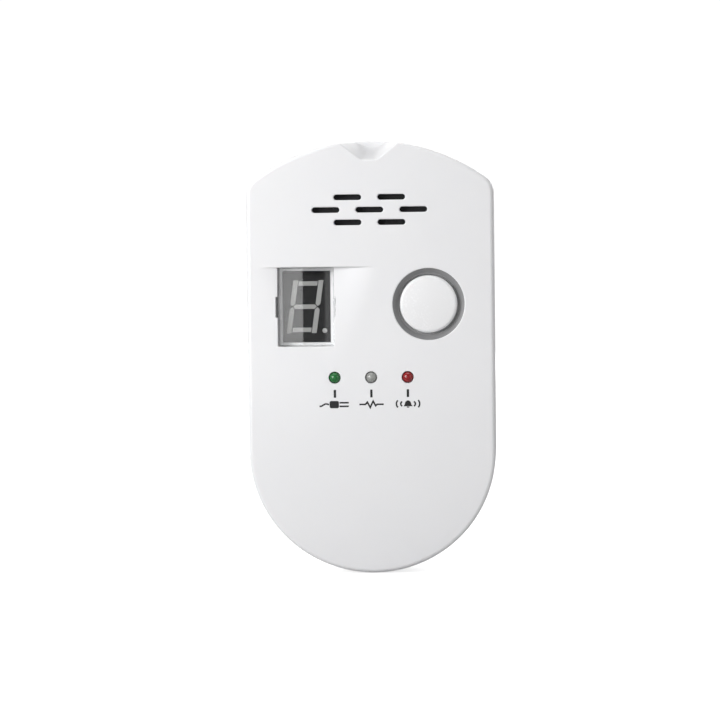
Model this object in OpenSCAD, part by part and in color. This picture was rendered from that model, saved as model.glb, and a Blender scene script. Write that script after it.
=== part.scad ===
/* [Housing] */
// Width across the straight sides
body_w = 66; // [64:1:84]
// Height from the lowest point to the top of the arc
body_h = 116; // [114:1:145]
// Height of the plug pins above the lowest point
plug_height = 58; // [54:1:64]
// Radius of the arc along the top edge
top_arc_r = 53; // [48:1:70]
// Radius of the two shoulders
shoulder_r = 5; // [4:0.5:9]
// Depth of the front cover at the middle of its face
front_depth = 17; // [16.5:0.5:24]
// Depth of the rear cover, without the plug boss
rear_depth = 10; // [9.5:0.5:18]
// Wall thickness of both covers
wall = 2; // [1.6:0.1:2.4]
// Radius of the sideways crown of the face
crown_r = 360; // [260:10:900]
// Distance below the top at which the face starts to fall back
bend_drop = 60; // [54:1:66]
// How far the face has fallen back at the lowest point
face_fall = 7.4; // [5:0.1:9]
// Width of the chamfer around the back
back_chamfer = 1.6; // [0.6:0.1:1.8]

/* [Seam between the covers] */
// Height of the shadow groove along the seam
seam_gap = 0.3; // [0.2:0.1:0.8]
// Depth of the shadow groove along the seam
seam_depth = 0.5; // [0.3:0.1:0.8]
// How far the rear cover's lip reaches into the front cover
lip_h = 1.8; // [1:0.1:1.8]
// Thickness of the lip
lip_t = 1; // [0.8:0.1:1.1]
// Gap between the lip and the front cover's wall
lip_gap = 0.1; // [0.05:0.01:0.2]

/* [Finger notch at the top] */
// Width of the notch at the top edge
notch_top_w = 17; // [10:1:20]
// Width of the notch at its lower edge
notch_low_w = 4.2; // [3:0.2:8]
// Height of the notch
notch_h = 5.2; // [3:0.2:6]
// Width of the notch at its back end
notch_back_w = 9.6; // [6:0.2:10]
// Drop of the ramp's back end below the top edge
notch_back_drop = 1.4; // [1:0.1:2]
// Rim left standing behind the notch
notch_rim = 1.2; // [1:0.1:3]

/* [Display recess and window] */
// Distance from the left side to the middle of the window
window_side = 15.7; // [15.7:0.1:18]
// Distance from the top to the middle of the window
window_drop = 44.1; // [43:0.1:46]
// Width of the window opening
window_w = 15.1; // [14.4:0.1:16]
// Height of the window opening
window_h = 21.1; // [20.4:0.1:23]
// Depth of the scoop under the brow
scoop_depth = 2.3; // [1.5:0.1:2.4]
// Height of the scoop from the brow to its run-out
scoop_len = 21.4; // [18:0.2:30]
// Radius of the scoop
scoop_r = 50; // [45:1:80]
// Distance from the left side to the middle of the scoop
scoop_side = 17; // [16:0.1:20]
// Depth of the lens face below the crest of the cover
lens_recess = 2.5; // [2.4:0.1:3]
// Thickness of the raised part of the lens
lens_t = 1.8; // [1.4:0.1:2.4]
// Thickness of the lens flange
lens_flange_t = 1; // [0.8:0.1:1.5]
// Width of the lens flange around the opening
lens_flange_w = 1.45; // [1:0.05:1.6]
// Gap around the lens in its opening
lens_gap = 0.12; // [0.05:0.01:0.2]
// Height of the two snap notches beside the lens
clip_h = 5.5; // [4:0.5:8]
// Width of the snap notches
clip_w = 0.5; // [0.3:0.1:0.6]
// Land around the flange on the cover's pad
pad_land = 0.95; // [0.6:0.05:1.2]

/* [Digit display] */
// Width of the display block
display_w = 12.6; // [11.8:0.1:13]
// Height of the display block
display_h = 19; // [18:0.1:19.4]
// Depth of the display block
display_d = 8; // [7:0.1:9]
// Gap between the lens and the display face
display_gap = 0.2; // [0.15:0.05:0.5]
// Height of the digit
digit_h = 14.2; // [12:0.1:15]
// Width of the digit
digit_w = 8; // [7:0.1:8.4]
// Width of a segment
segment_w = 1.3; // [1:0.1:1.6]
// Slant of the digit
digit_slant = 8; // [0:1:10]
// Depth of the white frame around the display block
frame_d = 4.6; // [3:0.1:6]
// Gap between the frame and the display block
frame_gap = 0.1; // [0.05:0.01:0.2]

/* [Grille] */
// Distance from the top to the middle row
grille_drop = 18.3; // [17:0.1:20]
// Width of one slot
slot_w = 7.4; // [5:0.1:9]
// Height of one slot
slot_h = 1.5; // [1:0.1:2]
// Distance between the slots of a row
slot_pitch = 11.7; // [10.5:0.1:13]
// Distance between the rows
row_pitch = 3.35; // [2.8:0.05:4]
// Thickness added behind the face at the grille
grille_land = 0.12; // [0.1:0.02:0.6]
// Thickness of the black cloth behind the slots
cloth_t = 0.3; // [0.2:0.1:0.5]

/* [Test button] */
// Distance from the right side to the middle of the button
button_side = 17.5; // [16:0.1:19]
// Distance from the top to the middle of the button
button_drop = 43.6; // [42:0.1:46]
// Radius of the button cap
button_r = 7.7; // [6:0.1:8]
// Gap around the button in its bore
button_gap = 0.3; // [0.2:0.05:0.4]
// Radius of the ring-shaped well
well_r = 9.6; // [9.2:0.1:10]
// Depth of the upright wall of the well
well_wall = 0.9; // [0.9:0.05:1.1]
// Depth of the well's cone below the upright wall
well_cone = 1.2; // [0.8:0.1:1.4]
// Length of the sleeve that guides the button
sleeve_h = 4; // [3.6:0.1:4.4]
// Radius of the dome on the cap
cap_dome_r = 60; // [40:5:200]
// Radius of the cap's edge
cap_edge_r = 1; // [0.6:0.1:1.5]
// Radius of the retaining flange
flange_r = 9.3; // [8.8:0.1:9.6]
// Thickness of the retaining flange
flange_t = 1; // [0.8:0.1:1.2]
// Gap between the flange and the sleeve at rest
flange_gap = 0.1; // [0.05:0.01:0.2]
// Radius of the button's stem
stem_r = 2.2; // [1.8:0.1:2.6]
// Travel of the button
button_travel = 1; // [0.6:0.1:1.2]

/* [Push switch] */
// Side of the square switch body
switch_w = 6; // [6:0.5:8]
// Height of the switch body
switch_h = 3.5; // [3:0.1:4.2]
// Radius of the switch plunger
plunger_r = 1.75; // [1.5:0.05:2]
// Gap around the plunger
plunger_gap = 0.1; // [0.05:0.01:0.2]
// Free height of the plunger above the switch body
plunger_h = 3.3; // [2.6:0.1:3.6]
// Length of the plunger inside the switch body
plunger_root = 0.7; // [0.5:0.1:1]

/* [Lights] */
// Distance from the top to the row of lights
led_drop = 63; // [61:0.1:66]
// Distance between the lights
led_pitch = 9.75; // [8:0.05:12]
// Radius of a light
led_r = 1.5; // [1.4:0.05:2.5]
// Height of a light above its flange
led_h = 4.3; // [4:0.1:5]
// Height of the dome above the crest of the cover
led_proud = 0.5; // [0.2:0.1:0.7]
// Radius of the flange around a light
led_flange_r = 1.9; // [1.8:0.05:2]
// Thickness of the flange around a light
led_flange_t = 1; // [0.6:0.1:1.2]
// Gap around a light in its bore
led_gap = 0.1; // [0.05:0.01:0.15]
// Radius of the spacer under a light
spacer_r = 2.5; // [2.4:0.1:3]

/* [Main board] */
// Gap between the board and the front cover's wall
board_gap = 1.4; // [1.2:0.1:2]
// Thickness of the board
board_t = 1.6; // [1:0.1:1.8]
// Gap between the board's top edge and the notch
board_notch_gap = 0.6; // [0.4:0.1:2]
// Radius of the component pins
pin_wire_r = 0.25; // [0.2:0.05:0.35]
// Gap around a pin in the board
pin_hole_gap = 0.15; // [0.1:0.05:0.2]
// Length of the pins behind the board
pin_tail = 1; // [0.6:0.1:1.4]

/* [Sounder] */
// Distance of the sounder to the left of the middle
sounder_left = 4; // [3.5:0.1:6]
// Distance from the top to the middle of the sounder
sounder_drop = 19.5; // [19.5:0.1:22]
// Radius of the sounder
sounder_r = 11; // [9:0.1:11]
// Height of the sounder
sounder_h = 8.5; // [6:0.1:9.5]
// Wall of the sounder's housing
sounder_wall = 1; // [0.8:0.1:1.4]
// Radius of the sound hole
sound_hole_r = 2.2; // [1:0.1:3]
// Thickness of the vibrating disc
disc_t = 0.3; // [0.2:0.1:0.6]

/* [Gas sensor] */
// Distance of the sensor to the right of the middle
sensor_right = 13; // [13:0.1:14]
// Distance from the top to the middle of the sensor
sensor_drop = 19; // [18:0.1:22]
// Radius of the sensor's metal can
can_r = 4.6; // [3.5:0.1:4.6]
// Height of the sensor's can
can_h = 6.6; // [5:0.1:8]
// Wall of the can
can_wall = 0.4; // [0.3:0.1:0.6]
// Radius of the gauze opening in the can
gauze_r = 3; // [2:0.1:3.2]
// Thickness of the sensor's base
sensor_base_t = 1.2; // [1:0.1:2]
// Radius of the sensor's base
sensor_base_r = 5; // [5:0.1:5.4]
// Thickness of the steel gauze
gauze_t = 0.3; // [0.2:0.1:0.5]

/* [Power supply on the back of the board] */
// Distance above the lowest point of the transformer and bulk capacitor
power_rise = 27; // [24:0.5:30]
// Distance of the transformer to the left of the middle
transformer_left = 8; // [7.5:0.5:9]
// Width of the transformer core
core_w = 13; // [10:0.5:14]
// Height of the transformer core off the board
core_h = 9.2; // [8:0.1:9.2]
// Thickness of the transformer core
core_t = 6; // [5:0.5:8]
// Thickness of the core's outer legs
core_leg = 2.4; // [2:0.1:3]
// Length of the transformer winding
coil_len = 11; // [9:0.5:13]
// Distance of the bulk capacitor to the right of the middle
bulk_right = 8; // [6:0.5:9]
// Radius of the bulk capacitor
bulk_r = 4; // [3:0.1:4.5]
// Length of the bulk capacitor
bulk_len = 14; // [10:0.5:16]
// Height above the board of lying round parts
lie_gap = 0.1; // [0.05:0.05:0.3]
// Radius of the wires of lying round parts
wire_r = 0.35; // [0.25:0.05:0.45]
// Length of a wire before its bend
wire_reach = 1.6; // [1:0.1:2]
// Distance between the two wires of a capacitor
wire_pitch = 2.5; // [2:0.1:3.5]
// Distance of the bridge rectifier to the left of the middle
rectifier_left = 15; // [14.5:0.1:15.5]
// Drop of the bridge rectifier below the plug pins
rectifier_drop = 19.5; // [19:0.1:20]
// Width of the filter capacitor
filter_w = 13; // [10:0.5:15]
// Thickness of the filter capacitor
filter_t = 5; // [4:0.5:6]
// Height of the filter capacitor off the board
filter_h = 8.8; // [7:0.1:9]
// Drop of the filter capacitor below the plug pins
filter_drop = 18.5; // [17.5:0.5:19]
// Radius of the fuse
fuse_r = 2.2; // [1.8:0.1:2.6]
// Length of the fuse
fuse_len = 10; // [8:0.5:12]
// Radius of the varistor
varistor_r = 4.2; // [3:0.1:5]
// Thickness of the varistor
varistor_t = 3.4; // [2.5:0.1:4.5]
// Distance of the fuse and the varistor from the middle
fuse_side = 20; // [18:0.5:21]
// Drop of the fuse and the varistor below the plug pins
fuse_drop = 7; // [5:0.5:8]

/* [Signal parts on the back of the board] */
// Distance of the controller chip above the lights
chip_up = 27; // [26.5:0.5:30]
// Length of the controller chip
chip_len = 10; // [8:0.5:12]
// Width of the controller chip
chip_w = 4; // [3.8:0.1:6]
// Height of the controller chip off the board
chip_h = 1.75; // [1.2:0.05:2.5]
// Length of the chip's legs beside its body
leg_len = 1; // [0.8:0.1:1.2]
// Radius of the output capacitor
output_r = 3.15; // [2.5:0.05:4]
// Length of the output capacitor
output_len = 11; // [8:0.5:12]
// Distance of the output capacitor above the lights
output_up = 40; // [39.5:0.5:41]
// Distance of the output capacitor to the right of the middle
output_right = 6.5; // [6:0.1:7]

/* [Plug] */
// Height of the plug boss
boss_h = 17; // [15:0.5:19]
// Radius of the plug boss
boss_r = 18.4; // [18:0.1:19]
// Wall of the plug boss
boss_wall = 2.2; // [1.8:0.1:2.4]
// Thickness of the boss's end wall
boss_end_t = 3; // [2.6:0.1:3.6]
// Chamfer around the end of the boss
boss_chamfer = 1; // [0.5:0.1:1.5]
// Width of the recesses for the socket's earth springs
clip_recess_w = 9; // [7:0.5:10]
// Depth of the recesses for the socket's earth springs
clip_recess_d = 2.6; // [2:0.1:3]
// Width of the grooves for the socket's side ribs
guide_w = 4.4; // [4:0.1:5]
// Depth of the grooves for the socket's side ribs
guide_d = 1.4; // [1:0.1:1.8]
// Distance between the two plug pins
pin_pitch = 19; // [19:1:19]
// Radius of a plug pin
pin_r = 2.4; // [2:0.1:2.4]
// Length of a plug pin outside the boss
pin_len = 19; // [17:0.5:20]
// Length of the pin's rounded tip
pin_tip = 1.6; // [1:0.1:2]
// Radius of the pin's seat in the end wall
pin_seat_r = 2.7; // [2.6:0.05:3]
// Gap around the pin's seat
pin_seat_gap = 0.05; // [0.02:0.01:0.1]
// Radius of the pin's collar
collar_r = 3.6; // [3.2:0.1:4]
// Thickness of the pin's collar
collar_t = 2; // [1.5:0.1:2.5]
// Radius of the pin's solder tail
tail_r = 1.6; // [1.2:0.1:1.8]
// Length of the pin's solder tail
tail_len = 6; // [5.5:0.1:7]
// Thickness of the clamp bar
clamp_t = 2.5; // [2:0.1:3]
// Length of the clamp bar
clamp_w = 27; // [26:0.5:28]
// Height of the clamp bar
clamp_h = 9; // [8:0.5:10]
// Gap around what passes through the clamp bar
clamp_gap = 0.3; // [0.2:0.05:0.4]

/* [Leads] */
// Radius of an insulated lead
lead_r = 1; // [0.8:0.1:1.1]
// Radius of a lead's bends
lead_bend = 3; // [2.5:0.1:3]
// Drop of a lead between the plug and the board
lead_drop = 12; // [11:0.5:12.5]
// Straight end of a lead at the board
lead_foot = 3; // [2:0.1:3]
// Wall of the shrink sleeves
shrink_t = 0.5; // [0.4:0.1:0.7]
// Length of the shrink sleeves
shrink_len = 6; // [5:0.5:7]
// Gap between a shrink sleeve and the solder tail
shrink_gap = 0.02; // [0.01:0.01:0.2]

/* [Screws] */
// Radius of the case screws
case_screw_r = 1.45; // [1.2:0.05:1.5]
// Length of the case screws
case_screw_len = 14; // [13:0.5:16]
// Radius of the case screw heads
case_head_r = 2.7; // [2.2:0.1:2.8]
// Height of the case screw heads
case_head_h = 2; // [1.5:0.1:2.4]
// Depth of the counterbores in the back
counterbore_d = 4; // [3:0.1:5]
// Gap around a screw head in its counterbore
head_gap = 0.3; // [0.2:0.05:0.4]
// Gap around a screw in its clearance hole
shank_gap = 0.2; // [0.1:0.05:0.3]
// Gap between a screw and the hole that it cuts its thread in
thread_gap = 0.02; // [0.01:0.01:0.04]
// Radius of the rear cover's posts
post_r = 4.4; // [4.2:0.1:4.6]
// Radius of the front cover's case bosses
case_boss_r = 3.2; // [2.6:0.1:3.6]
// Distance of the upper posts from the sides
post_side = 9; // [8.5:0.1:10]
// Distance of the upper posts below the top
post_drop = 22; // [21:0.5:24]
// Distance of the lower posts from the sides
low_post_side = 11.5; // [11.5:0.1:13]
// Distance of the lower posts above the lowest point
low_post_rise = 23; // [23:0.5:26]
// Radius of the board screws
board_screw_r = 1.2; // [1:0.05:1.3]
// Length of the board screws under the head
board_screw_len = 7; // [6:0.5:7]
// Radius of the small screw heads
small_head_r = 2.3; // [2:0.1:2.4]
// Height of the small screw heads
small_head_h = 1.7; // [1.2:0.1:2]
// Radius of the board bosses
board_boss_r = 2.6; // [2.2:0.1:3]
// Distance of the upper board screws from the sides
board_screw_side = 6.5; // [6.5:0.1:8]
// Distance of the upper board screws below the top
board_screw_drop = 30; // [29:0.5:31]
// Distance of the lower board screws from the sides
low_screw_side = 9; // [8:0.1:10]
// Distance of the lower board screws above the lowest point
low_screw_rise = 38; // [36:0.5:40]
// Depth of the cross recess in the screw heads
recess_d = 1; // [0.6:0.1:1.2]

/* [Back of the case] */
// Width of a vent slot
vent_w = 1.8; // [1.2:0.1:2.4]
// Length of a vent slot
vent_len = 9; // [6:0.5:10]
// Distance between the vent slots
vent_pitch = 4; // [3.6:0.1:5]
// Number of vent slots in a row
vent_count = 7; // [3:2:7]
// Distance of the vent rows from the top and from the lowest point
vent_inset = 13; // [12:0.5:15]
// Width of the rating label
label_w = 30; // [20:1:32]
// Height of the rating label
label_h = 14; // [8:1:14]
// Thickness of the rating label
label_t = 0.15; // [0.1:0.05:0.3]
// Distance between the plug pins and the middle of the label
label_drop = 29; // [28:0.5:31]

/* [Hidden] */

ROUND = 64;
THIN = 24;
eps = 0.01;

// The pad that the black cloth is stuck to, behind the slots, and the crown's depth at its ends
grille_pad_w = 3 * slot_pitch + 2;
grille_pad_h = 2 * row_pitch + slot_h + 4;
grille_crown = ceil(100 * crown(grille_pad_w / 2)) / 100;

// Levels along Y: the plug face is at 0 and the front of the case looks along -Y
y_back = -boss_h;
y_split = y_back - rear_depth;
y_front = y_split - front_depth;
y_lens = y_front + lens_recess;
y_seat = y_lens + lens_t;
y_lens_back = y_seat + lens_flange_t;
y_display = y_lens_back + display_gap;
y_board = y_display + display_d;
y_board_back = y_board + board_t;
y_sleeve = y_front + sleeve_h;
y_grille = y_front + wall + grille_crown + grille_land;
y_plunger = y_board - switch_h - plunger_h;
y_floor = y_back - wall;
y_end_wall = -boss_end_t;
y_collar = y_end_wall - collar_t;
y_clamp = y_collar - clamp_t;
y_tail = y_collar - tail_len;
y_head_seat = y_back - counterbore_d;

// Heights: the plug pins are at 0
z_low = -plug_height;
z_top = body_h - plug_height;
z_bend = z_top - bend_drop;
z_window = z_top - window_drop;
z_brow = z_window + window_h / 2;
z_button = z_top - button_drop;
z_led = z_top - led_drop;
z_grille = z_top - grille_drop;
z_notch = z_top - notch_h;
z_board_top = z_notch - wall - board_notch_gap;
z_power = z_low + power_rise;
z_chip = z_led + chip_up;
z_output = z_led + output_up;
face_r = (pow(z_bend - z_low, 2) + pow(face_fall, 2)) / (2 * face_fall);

// Places across the width
x_window = window_side - body_w / 2;
x_scoop = scoop_side - body_w / 2;
x_button = body_w / 2 - button_side;

case_posts = [
  [body_w / 2 - post_side, z_top - post_drop],
  [post_side - body_w / 2, z_top - post_drop],
  [body_w / 2 - low_post_side, z_low + low_post_rise],
  [low_post_side - body_w / 2, z_low + low_post_rise]
];
board_posts = [
  [body_w / 2 - board_screw_side, z_top - board_screw_drop],
  [board_screw_side - body_w / 2, z_top - board_screw_drop],
  [body_w / 2 - low_screw_side, z_low + low_screw_rise],
  [low_screw_side - body_w / 2, z_low + low_screw_rise]
];

// Where the component pins pass through the board
pin_step = 2.54;
display_pin_spots = [
  for (side = [-1, 1], i = [-2:2]) [x_window + i * pin_step, z_window + side * 3 * pin_step]
];
led_spots = [for (i = [-1:1]) [i * led_pitch, z_led]];
led_pin_spots = [for (p = led_spots, side = [-1, 1]) [p[0] + side * pin_step / 2, p[1]]];
sounder_spot = [-sounder_left, z_top - sounder_drop];
sounder_pin_spots = [for (side = [-1, 1]) [sounder_spot[0] + side * 2 * pin_step, sounder_spot[1]]];
sensor_spot = [sensor_right, z_top - sensor_drop];
sensor_pin_spots = [
  for (a = [45:90:315]) [sensor_spot[0] + pin_step * cos(a), sensor_spot[1] + pin_step * sin(a)]
];

// The front outline, moved in by inset: a half circle below, two shoulders and a wide arc above
function arc(cx, cz, r, a0, a1, n) =
  [for (i = [0:n]) let(a = a0 + (a1 - a0) * i / n) [cx + r * cos(a), cz + r * sin(a)]];
shoulder_x = body_w / 2 - shoulder_r;
top_centre_z = z_top - top_arc_r;
shoulder_z = top_centre_z + sqrt(pow(top_arc_r - shoulder_r, 2) - pow(shoulder_x, 2));
shoulder_a = atan2(shoulder_z - top_centre_z, shoulder_x);
function outline(inset) =
  let(small_r = max(shoulder_r - inset, 0.4))
  concat(
    arc(0, z_low + body_w / 2, body_w / 2 - inset, 180, 360, 48),
    arc(shoulder_x, shoulder_z, small_r, 0, shoulder_a, 6),
    arc(0, top_centre_z, top_arc_r - inset, shoulder_a + 2, 178 - shoulder_a, 30),
    arc(-shoulder_x, shoulder_z, small_r, 180 - shoulder_a, 180, 6)
  );

// A slot with round ends, as points around its middle
function slot_points(w, h) =
  concat(
    arc((w - h) / 2, 0, h / 2, -90, 90, 8),
    arc((h - w) / 2, 0, h / 2, 90, 270, 8)
  );

module outline_prism(inset, ya, yb) {
  translate([0, yb, 0]) rotate([90, 0, 0]) linear_extrude(yb - ya) polygon(outline(inset));
}

module y_cyl(p, r, ya, yb, n = ROUND) {
  translate([p[0], ya, p[1]]) rotate([-90, 0, 0]) cylinder(r = r, h = yb - ya, $fn = n);
}

module y_cone(p, ra, rb, ya, yb) {
  translate([p[0], ya, p[1]]) rotate([-90, 0, 0]) cylinder(r1 = ra, r2 = rb, h = yb - ya, $fn = ROUND);
}

module y_box(p, w, h, ya, yb) {
  translate([p[0] - w / 2, ya, p[1] - h / 2]) cube([w, yb - ya, h]);
}

module y_plate(p, points, ya, yb) {
  translate([p[0], yb, p[1]]) rotate([90, 0, 0]) linear_extrude(yb - ya) polygon(points);
}

// The body of revolution of a profile of [radius, depth] points, with its axis along Y
module y_turned(p, profile) {
  translate([p[0], 0, p[1]]) rotate([-90, 0, 0]) rotate_extrude($fn = ROUND) polygon(profile);
}

// Everything behind the crowned face, moved back by t: straight above the bend, falling back below it
function crown(x) = crown_r - sqrt(crown_r * crown_r - x * x);
crown_steps = 6;
face_reach = front_depth + 8;
module face_form(t) {
  step = (body_w / 2 + 2) / crown_steps;
  xs = [for (i = [-crown_steps:crown_steps]) i * step];
  upper = concat(
    [for (x = xs) [x, y_front + t + crown(x)]],
    [[xs[2 * crown_steps], y_front + face_reach], [xs[0], y_front + face_reach]]
  );
  lower = concat(
    [for (x = xs) [face_r - t - crown(x), x]],
    [[face_r - face_reach, xs[2 * crown_steps]], [face_r - face_reach, xs[0]]]
  );
  sweep = asin((z_bend - z_low) / (face_r - face_reach)) + 1;
  translate([0, 0, z_bend]) linear_extrude(bend_drop + 1) polygon(upper);
  translate([0, y_front + face_r, z_bend])
    rotate([0, 90, 0]) rotate([0, 0, -90]) rotate_extrude(angle = sweep, $fn = 360) polygon(lower);
}

// The scoop around the display, a leaning round channel under a level brow, grown by t
module scoop(t) {
  intersection() {
    translate([x_scoop, y_front + scoop_depth, z_brow])
      rotate([-atan(scoop_depth / scoop_len), 0, 0])
        translate([0, -scoop_r, -2 * scoop_len])
          cylinder(r = scoop_r + t, h = 3 * scoop_len, $fn = 360);
    translate([-body_w, y_front - 5, z_brow - 1.5 * scoop_len])
      cube([2 * body_w, face_reach, 1.5 * scoop_len + t]);
  }
}

// The finger notch, a ramp that narrows towards the back, grown by t
module notch(t) {
  hull() {
    notch_slice(y_front - 1, t, notch_top_w, notch_low_w, z_notch);
    notch_slice(y_split - notch_rim, t, notch_back_w, notch_low_w / 2, z_top - notch_back_drop);
  }
}

module notch_slice(y, t, top_w, low_w, z) {
  spread = (top_w - low_w) / (2 * (z_top - z));
  rise = z_top + 2 - z + t;
  side = low_w / 2 + t;
  translate([0, y + eps, 0]) rotate([90, 0, 0]) linear_extrude(eps)
    polygon([
      [-side, z - t],
      [side, z - t],
      [side + spread * rise, z - t + rise],
      [-side - spread * rise, z - t + rise]
    ]);
}

module grille_slots(ya, yb) {
  for (row = [-1:1])
    for (i = row == 0 ? [-1:1] : [-0.5:1:0.5])
      y_plate([i * slot_pitch, z_grille + row * row_pitch], slot_points(slot_w, slot_h), ya, yb);
}

pad_w = 2 * (lens_flange_w + pad_land);

// What stands inside the front cover's hollow
module front_inside() {
  scoop(wall);
  notch(wall);
  y_box([x_window, z_window], window_w + pad_w, window_h + pad_w, y_front, y_seat);
  y_box([0, z_grille], grille_pad_w, grille_pad_h, y_front, y_grille);
  y_cyl([x_button, z_button], well_r + 1, y_front, y_sleeve);
  for (p = case_posts) y_cyl(p, case_boss_r, y_front, y_split);
  for (p = board_posts) y_cyl(p, board_boss_r, y_front, y_board);
}

module front_cover() {
  bore_r = button_r + button_gap;
  color("white") difference() {
    intersection() {
      outline_prism(0, y_front - 1, y_split);
      face_form(0);
    }
    difference() {
      intersection() {
        outline_prism(wall, y_front - 1, y_split + 1);
        face_form(wall);
      }
      front_inside();
    }
    scoop(0);
    notch(0);
    grille_slots(y_front - 1, y_grille + 1);
    y_box([x_window, z_window], window_w, window_h, y_front - 1, y_seat + 1);
    y_box([x_window, z_window], window_w + 2 * clip_w, clip_h, y_front - 1, y_seat + 1);
    y_box([x_window, z_window], window_w + pad_w - 1, window_h + pad_w - 1, y_seat, y_board);
    y_cyl([x_button, z_button], well_r, y_front - 1, y_front + well_wall);
    y_cone([x_button, z_button], well_r, bore_r + 0.35, y_front + well_wall, y_front + well_wall + well_cone);
    y_cyl([x_button, z_button], bore_r, y_front - 1, y_sleeve + 1);
    for (p = led_spots) y_cyl(p, led_r + led_gap, y_front - 1, y_front + wall + 1);
    for (p = case_posts)
      y_cyl(p, case_screw_r + thread_gap, y_head_seat - case_screw_len - 1, y_split + 1);
    for (p = board_posts)
      y_cyl(p, board_screw_r + thread_gap, y_board_back - board_screw_len - 1, y_board + 1);
  }
}

module vent_slots() {
  for (z = [z_low + vent_inset, z_top - vent_inset])
    for (i = [-(vent_count - 1) / 2:(vent_count - 1) / 2])
      y_plate([i * vent_pitch, z], [for (q = slot_points(vent_len, vent_w)) [-q[1], q[0]]],
        y_floor - 1, y_back + 1);
}

// The four flats cut into the boss's side, each a box of the given width reaching in to the radius reach
module boss_recesses(grow, deep) {
  for (s = [-1, 1]) {
    y_box([0, s * (boss_r - clip_recess_d + 5 - deep)], clip_recess_w + 2 * grow, 10, y_back - wall - 1, 1);
    y_box([s * (boss_r - guide_d + 5 - deep), 0], 10, guide_w + 2 * grow, y_back - wall - 1, 1);
  }
}

module rear_cover() {
  screw_hole_r = case_screw_r + shank_gap;
  color("white") difference() {
    union() {
      difference() {
        union() {
          outline_prism(0, y_split + seam_gap, y_back - back_chamfer);
          outline_prism(seam_depth, y_split, y_split + seam_gap + eps);
          hull() {
            outline_prism(0, y_back - back_chamfer - eps, y_back - back_chamfer);
            outline_prism(back_chamfer, y_back - eps, y_back);
          }
        }
        outline_prism(wall + lip_t, y_split - 1, y_floor);
        outline_prism(wall, y_split + 3, y_floor);
      }
      difference() {
        outline_prism(wall + lip_gap, y_split - lip_h, y_split + 1);
        outline_prism(wall + lip_gap + lip_t, y_split - lip_h - 1, y_split + 2);
        y_box([0, z_top], notch_top_w + 2 * wall, 4 * notch_h, y_split - lip_h - 1, y_split + eps);
      }
      for (p = case_posts) y_cyl(p, post_r, y_split, y_floor + eps);
      difference() {
        union() {
          y_cyl([0, 0], boss_r, y_back - eps, -boss_chamfer);
          y_cone([0, 0], boss_r, boss_r - boss_chamfer, -boss_chamfer, 0);
        }
        difference() {
          boss_recesses(0, 0);
          y_box([0, 0], 3 * boss_r, 3 * boss_r, y_split, y_back);
        }
      }
    }
    difference() {
      y_cyl([0, 0], boss_r - boss_wall, y_floor - 1, y_end_wall);
      boss_recesses(boss_wall, boss_wall);
      y_cyl([0, 0], board_boss_r, y_collar, 0);
    }
    for (s = [-1, 1]) y_cyl([s * pin_pitch / 2, 0], pin_seat_r + pin_seat_gap, y_end_wall - 1, 1);
    y_cyl([0, 0], board_screw_r + thread_gap, y_collar - 1, y_end_wall + 2);
    for (p = case_posts) {
      y_cyl(p, screw_hole_r, y_split - 1, y_back + 1);
      y_cyl(p, case_head_r + head_gap, y_head_seat, y_back + 1);
    }
    vent_slots();
  }
}

// A screw with a pan head behind seat and its shank reaching forward from there
module screw(p, seat, shank_r, len, head_r, head_h) {
  difference() {
    union() {
      y_cyl(p, shank_r, seat - len, seat + eps, THIN);
      y_cyl(p, head_r, seat, seat + head_h, ROUND);
    }
    y_box(p, head_r * 1.3, head_r * 0.32, seat + head_h - recess_d, seat + head_h + 1);
    y_box(p, head_r * 0.32, head_r * 1.3, seat + head_h - recess_d, seat + head_h + 1);
  }
}

module case_screws() {
  color("silver") for (p = case_posts)
    screw(p, y_head_seat, case_screw_r, case_screw_len, case_head_r, case_head_h);
}

module board_screws() {
  color("silver") for (p = board_posts)
    screw(p, y_board_back, board_screw_r, board_screw_len, small_head_r, small_head_h);
}

module clamp_screw() {
  // The screw points back towards the plug face, so it is turned about
  color("silver") translate([0, y_clamp, 0]) rotate([180, 0, 0])
    screw([0, 0], 0, board_screw_r, clamp_t + collar_t + 1.5, small_head_r, small_head_h);
}

module rating_label() {
  color("silver") y_box([0, -label_drop], label_w, label_h, y_back, y_back + label_t);
}

module display_window() {
  color("lightblue", 0.4) {
    y_box([x_window, z_window], window_w - 2 * lens_gap, window_h - 2 * lens_gap, y_lens, y_seat + eps);
    y_box([x_window, z_window], window_w + clip_w, clip_h - 1, y_lens + 0.6, y_seat + eps);
    y_box([x_window, z_window], window_w + 2 * lens_flange_w, window_h + 2 * lens_flange_w,
      y_seat, y_lens_back);
  }
}

module display_frame() {
  color("white") difference() {
    y_box([x_window, z_window], window_w + 2.3, window_h + 2.3, y_lens_back, y_lens_back + frame_d);
    y_box([x_window, z_window], display_w + 2 * frame_gap, display_h + 2 * frame_gap,
      y_lens_back - 1, y_lens_back + frame_d + 1);
  }
}

module display_body() {
  color("#26282b") y_box([x_window, z_window], display_w, display_h, y_display, y_board);
}

// One segment from a to b with pointed ends, leaning by the digit's slant
function lean(q) = [q[0] + q[1] * tan(digit_slant), q[1]];
function segment(a, b) =
  let(
    d = (b - a) / norm(b - a),
    n = [-d[1], d[0]],
    h = segment_w / 2,
    tip = 0.15
  )
  [for (q = [
    a + d * tip, a + d * (tip + h) + n * h, b - d * (tip + h) + n * h,
    b - d * tip, b - d * (tip + h) - n * h, a + d * (tip + h) - n * h
  ]) lean(q)];

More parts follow.
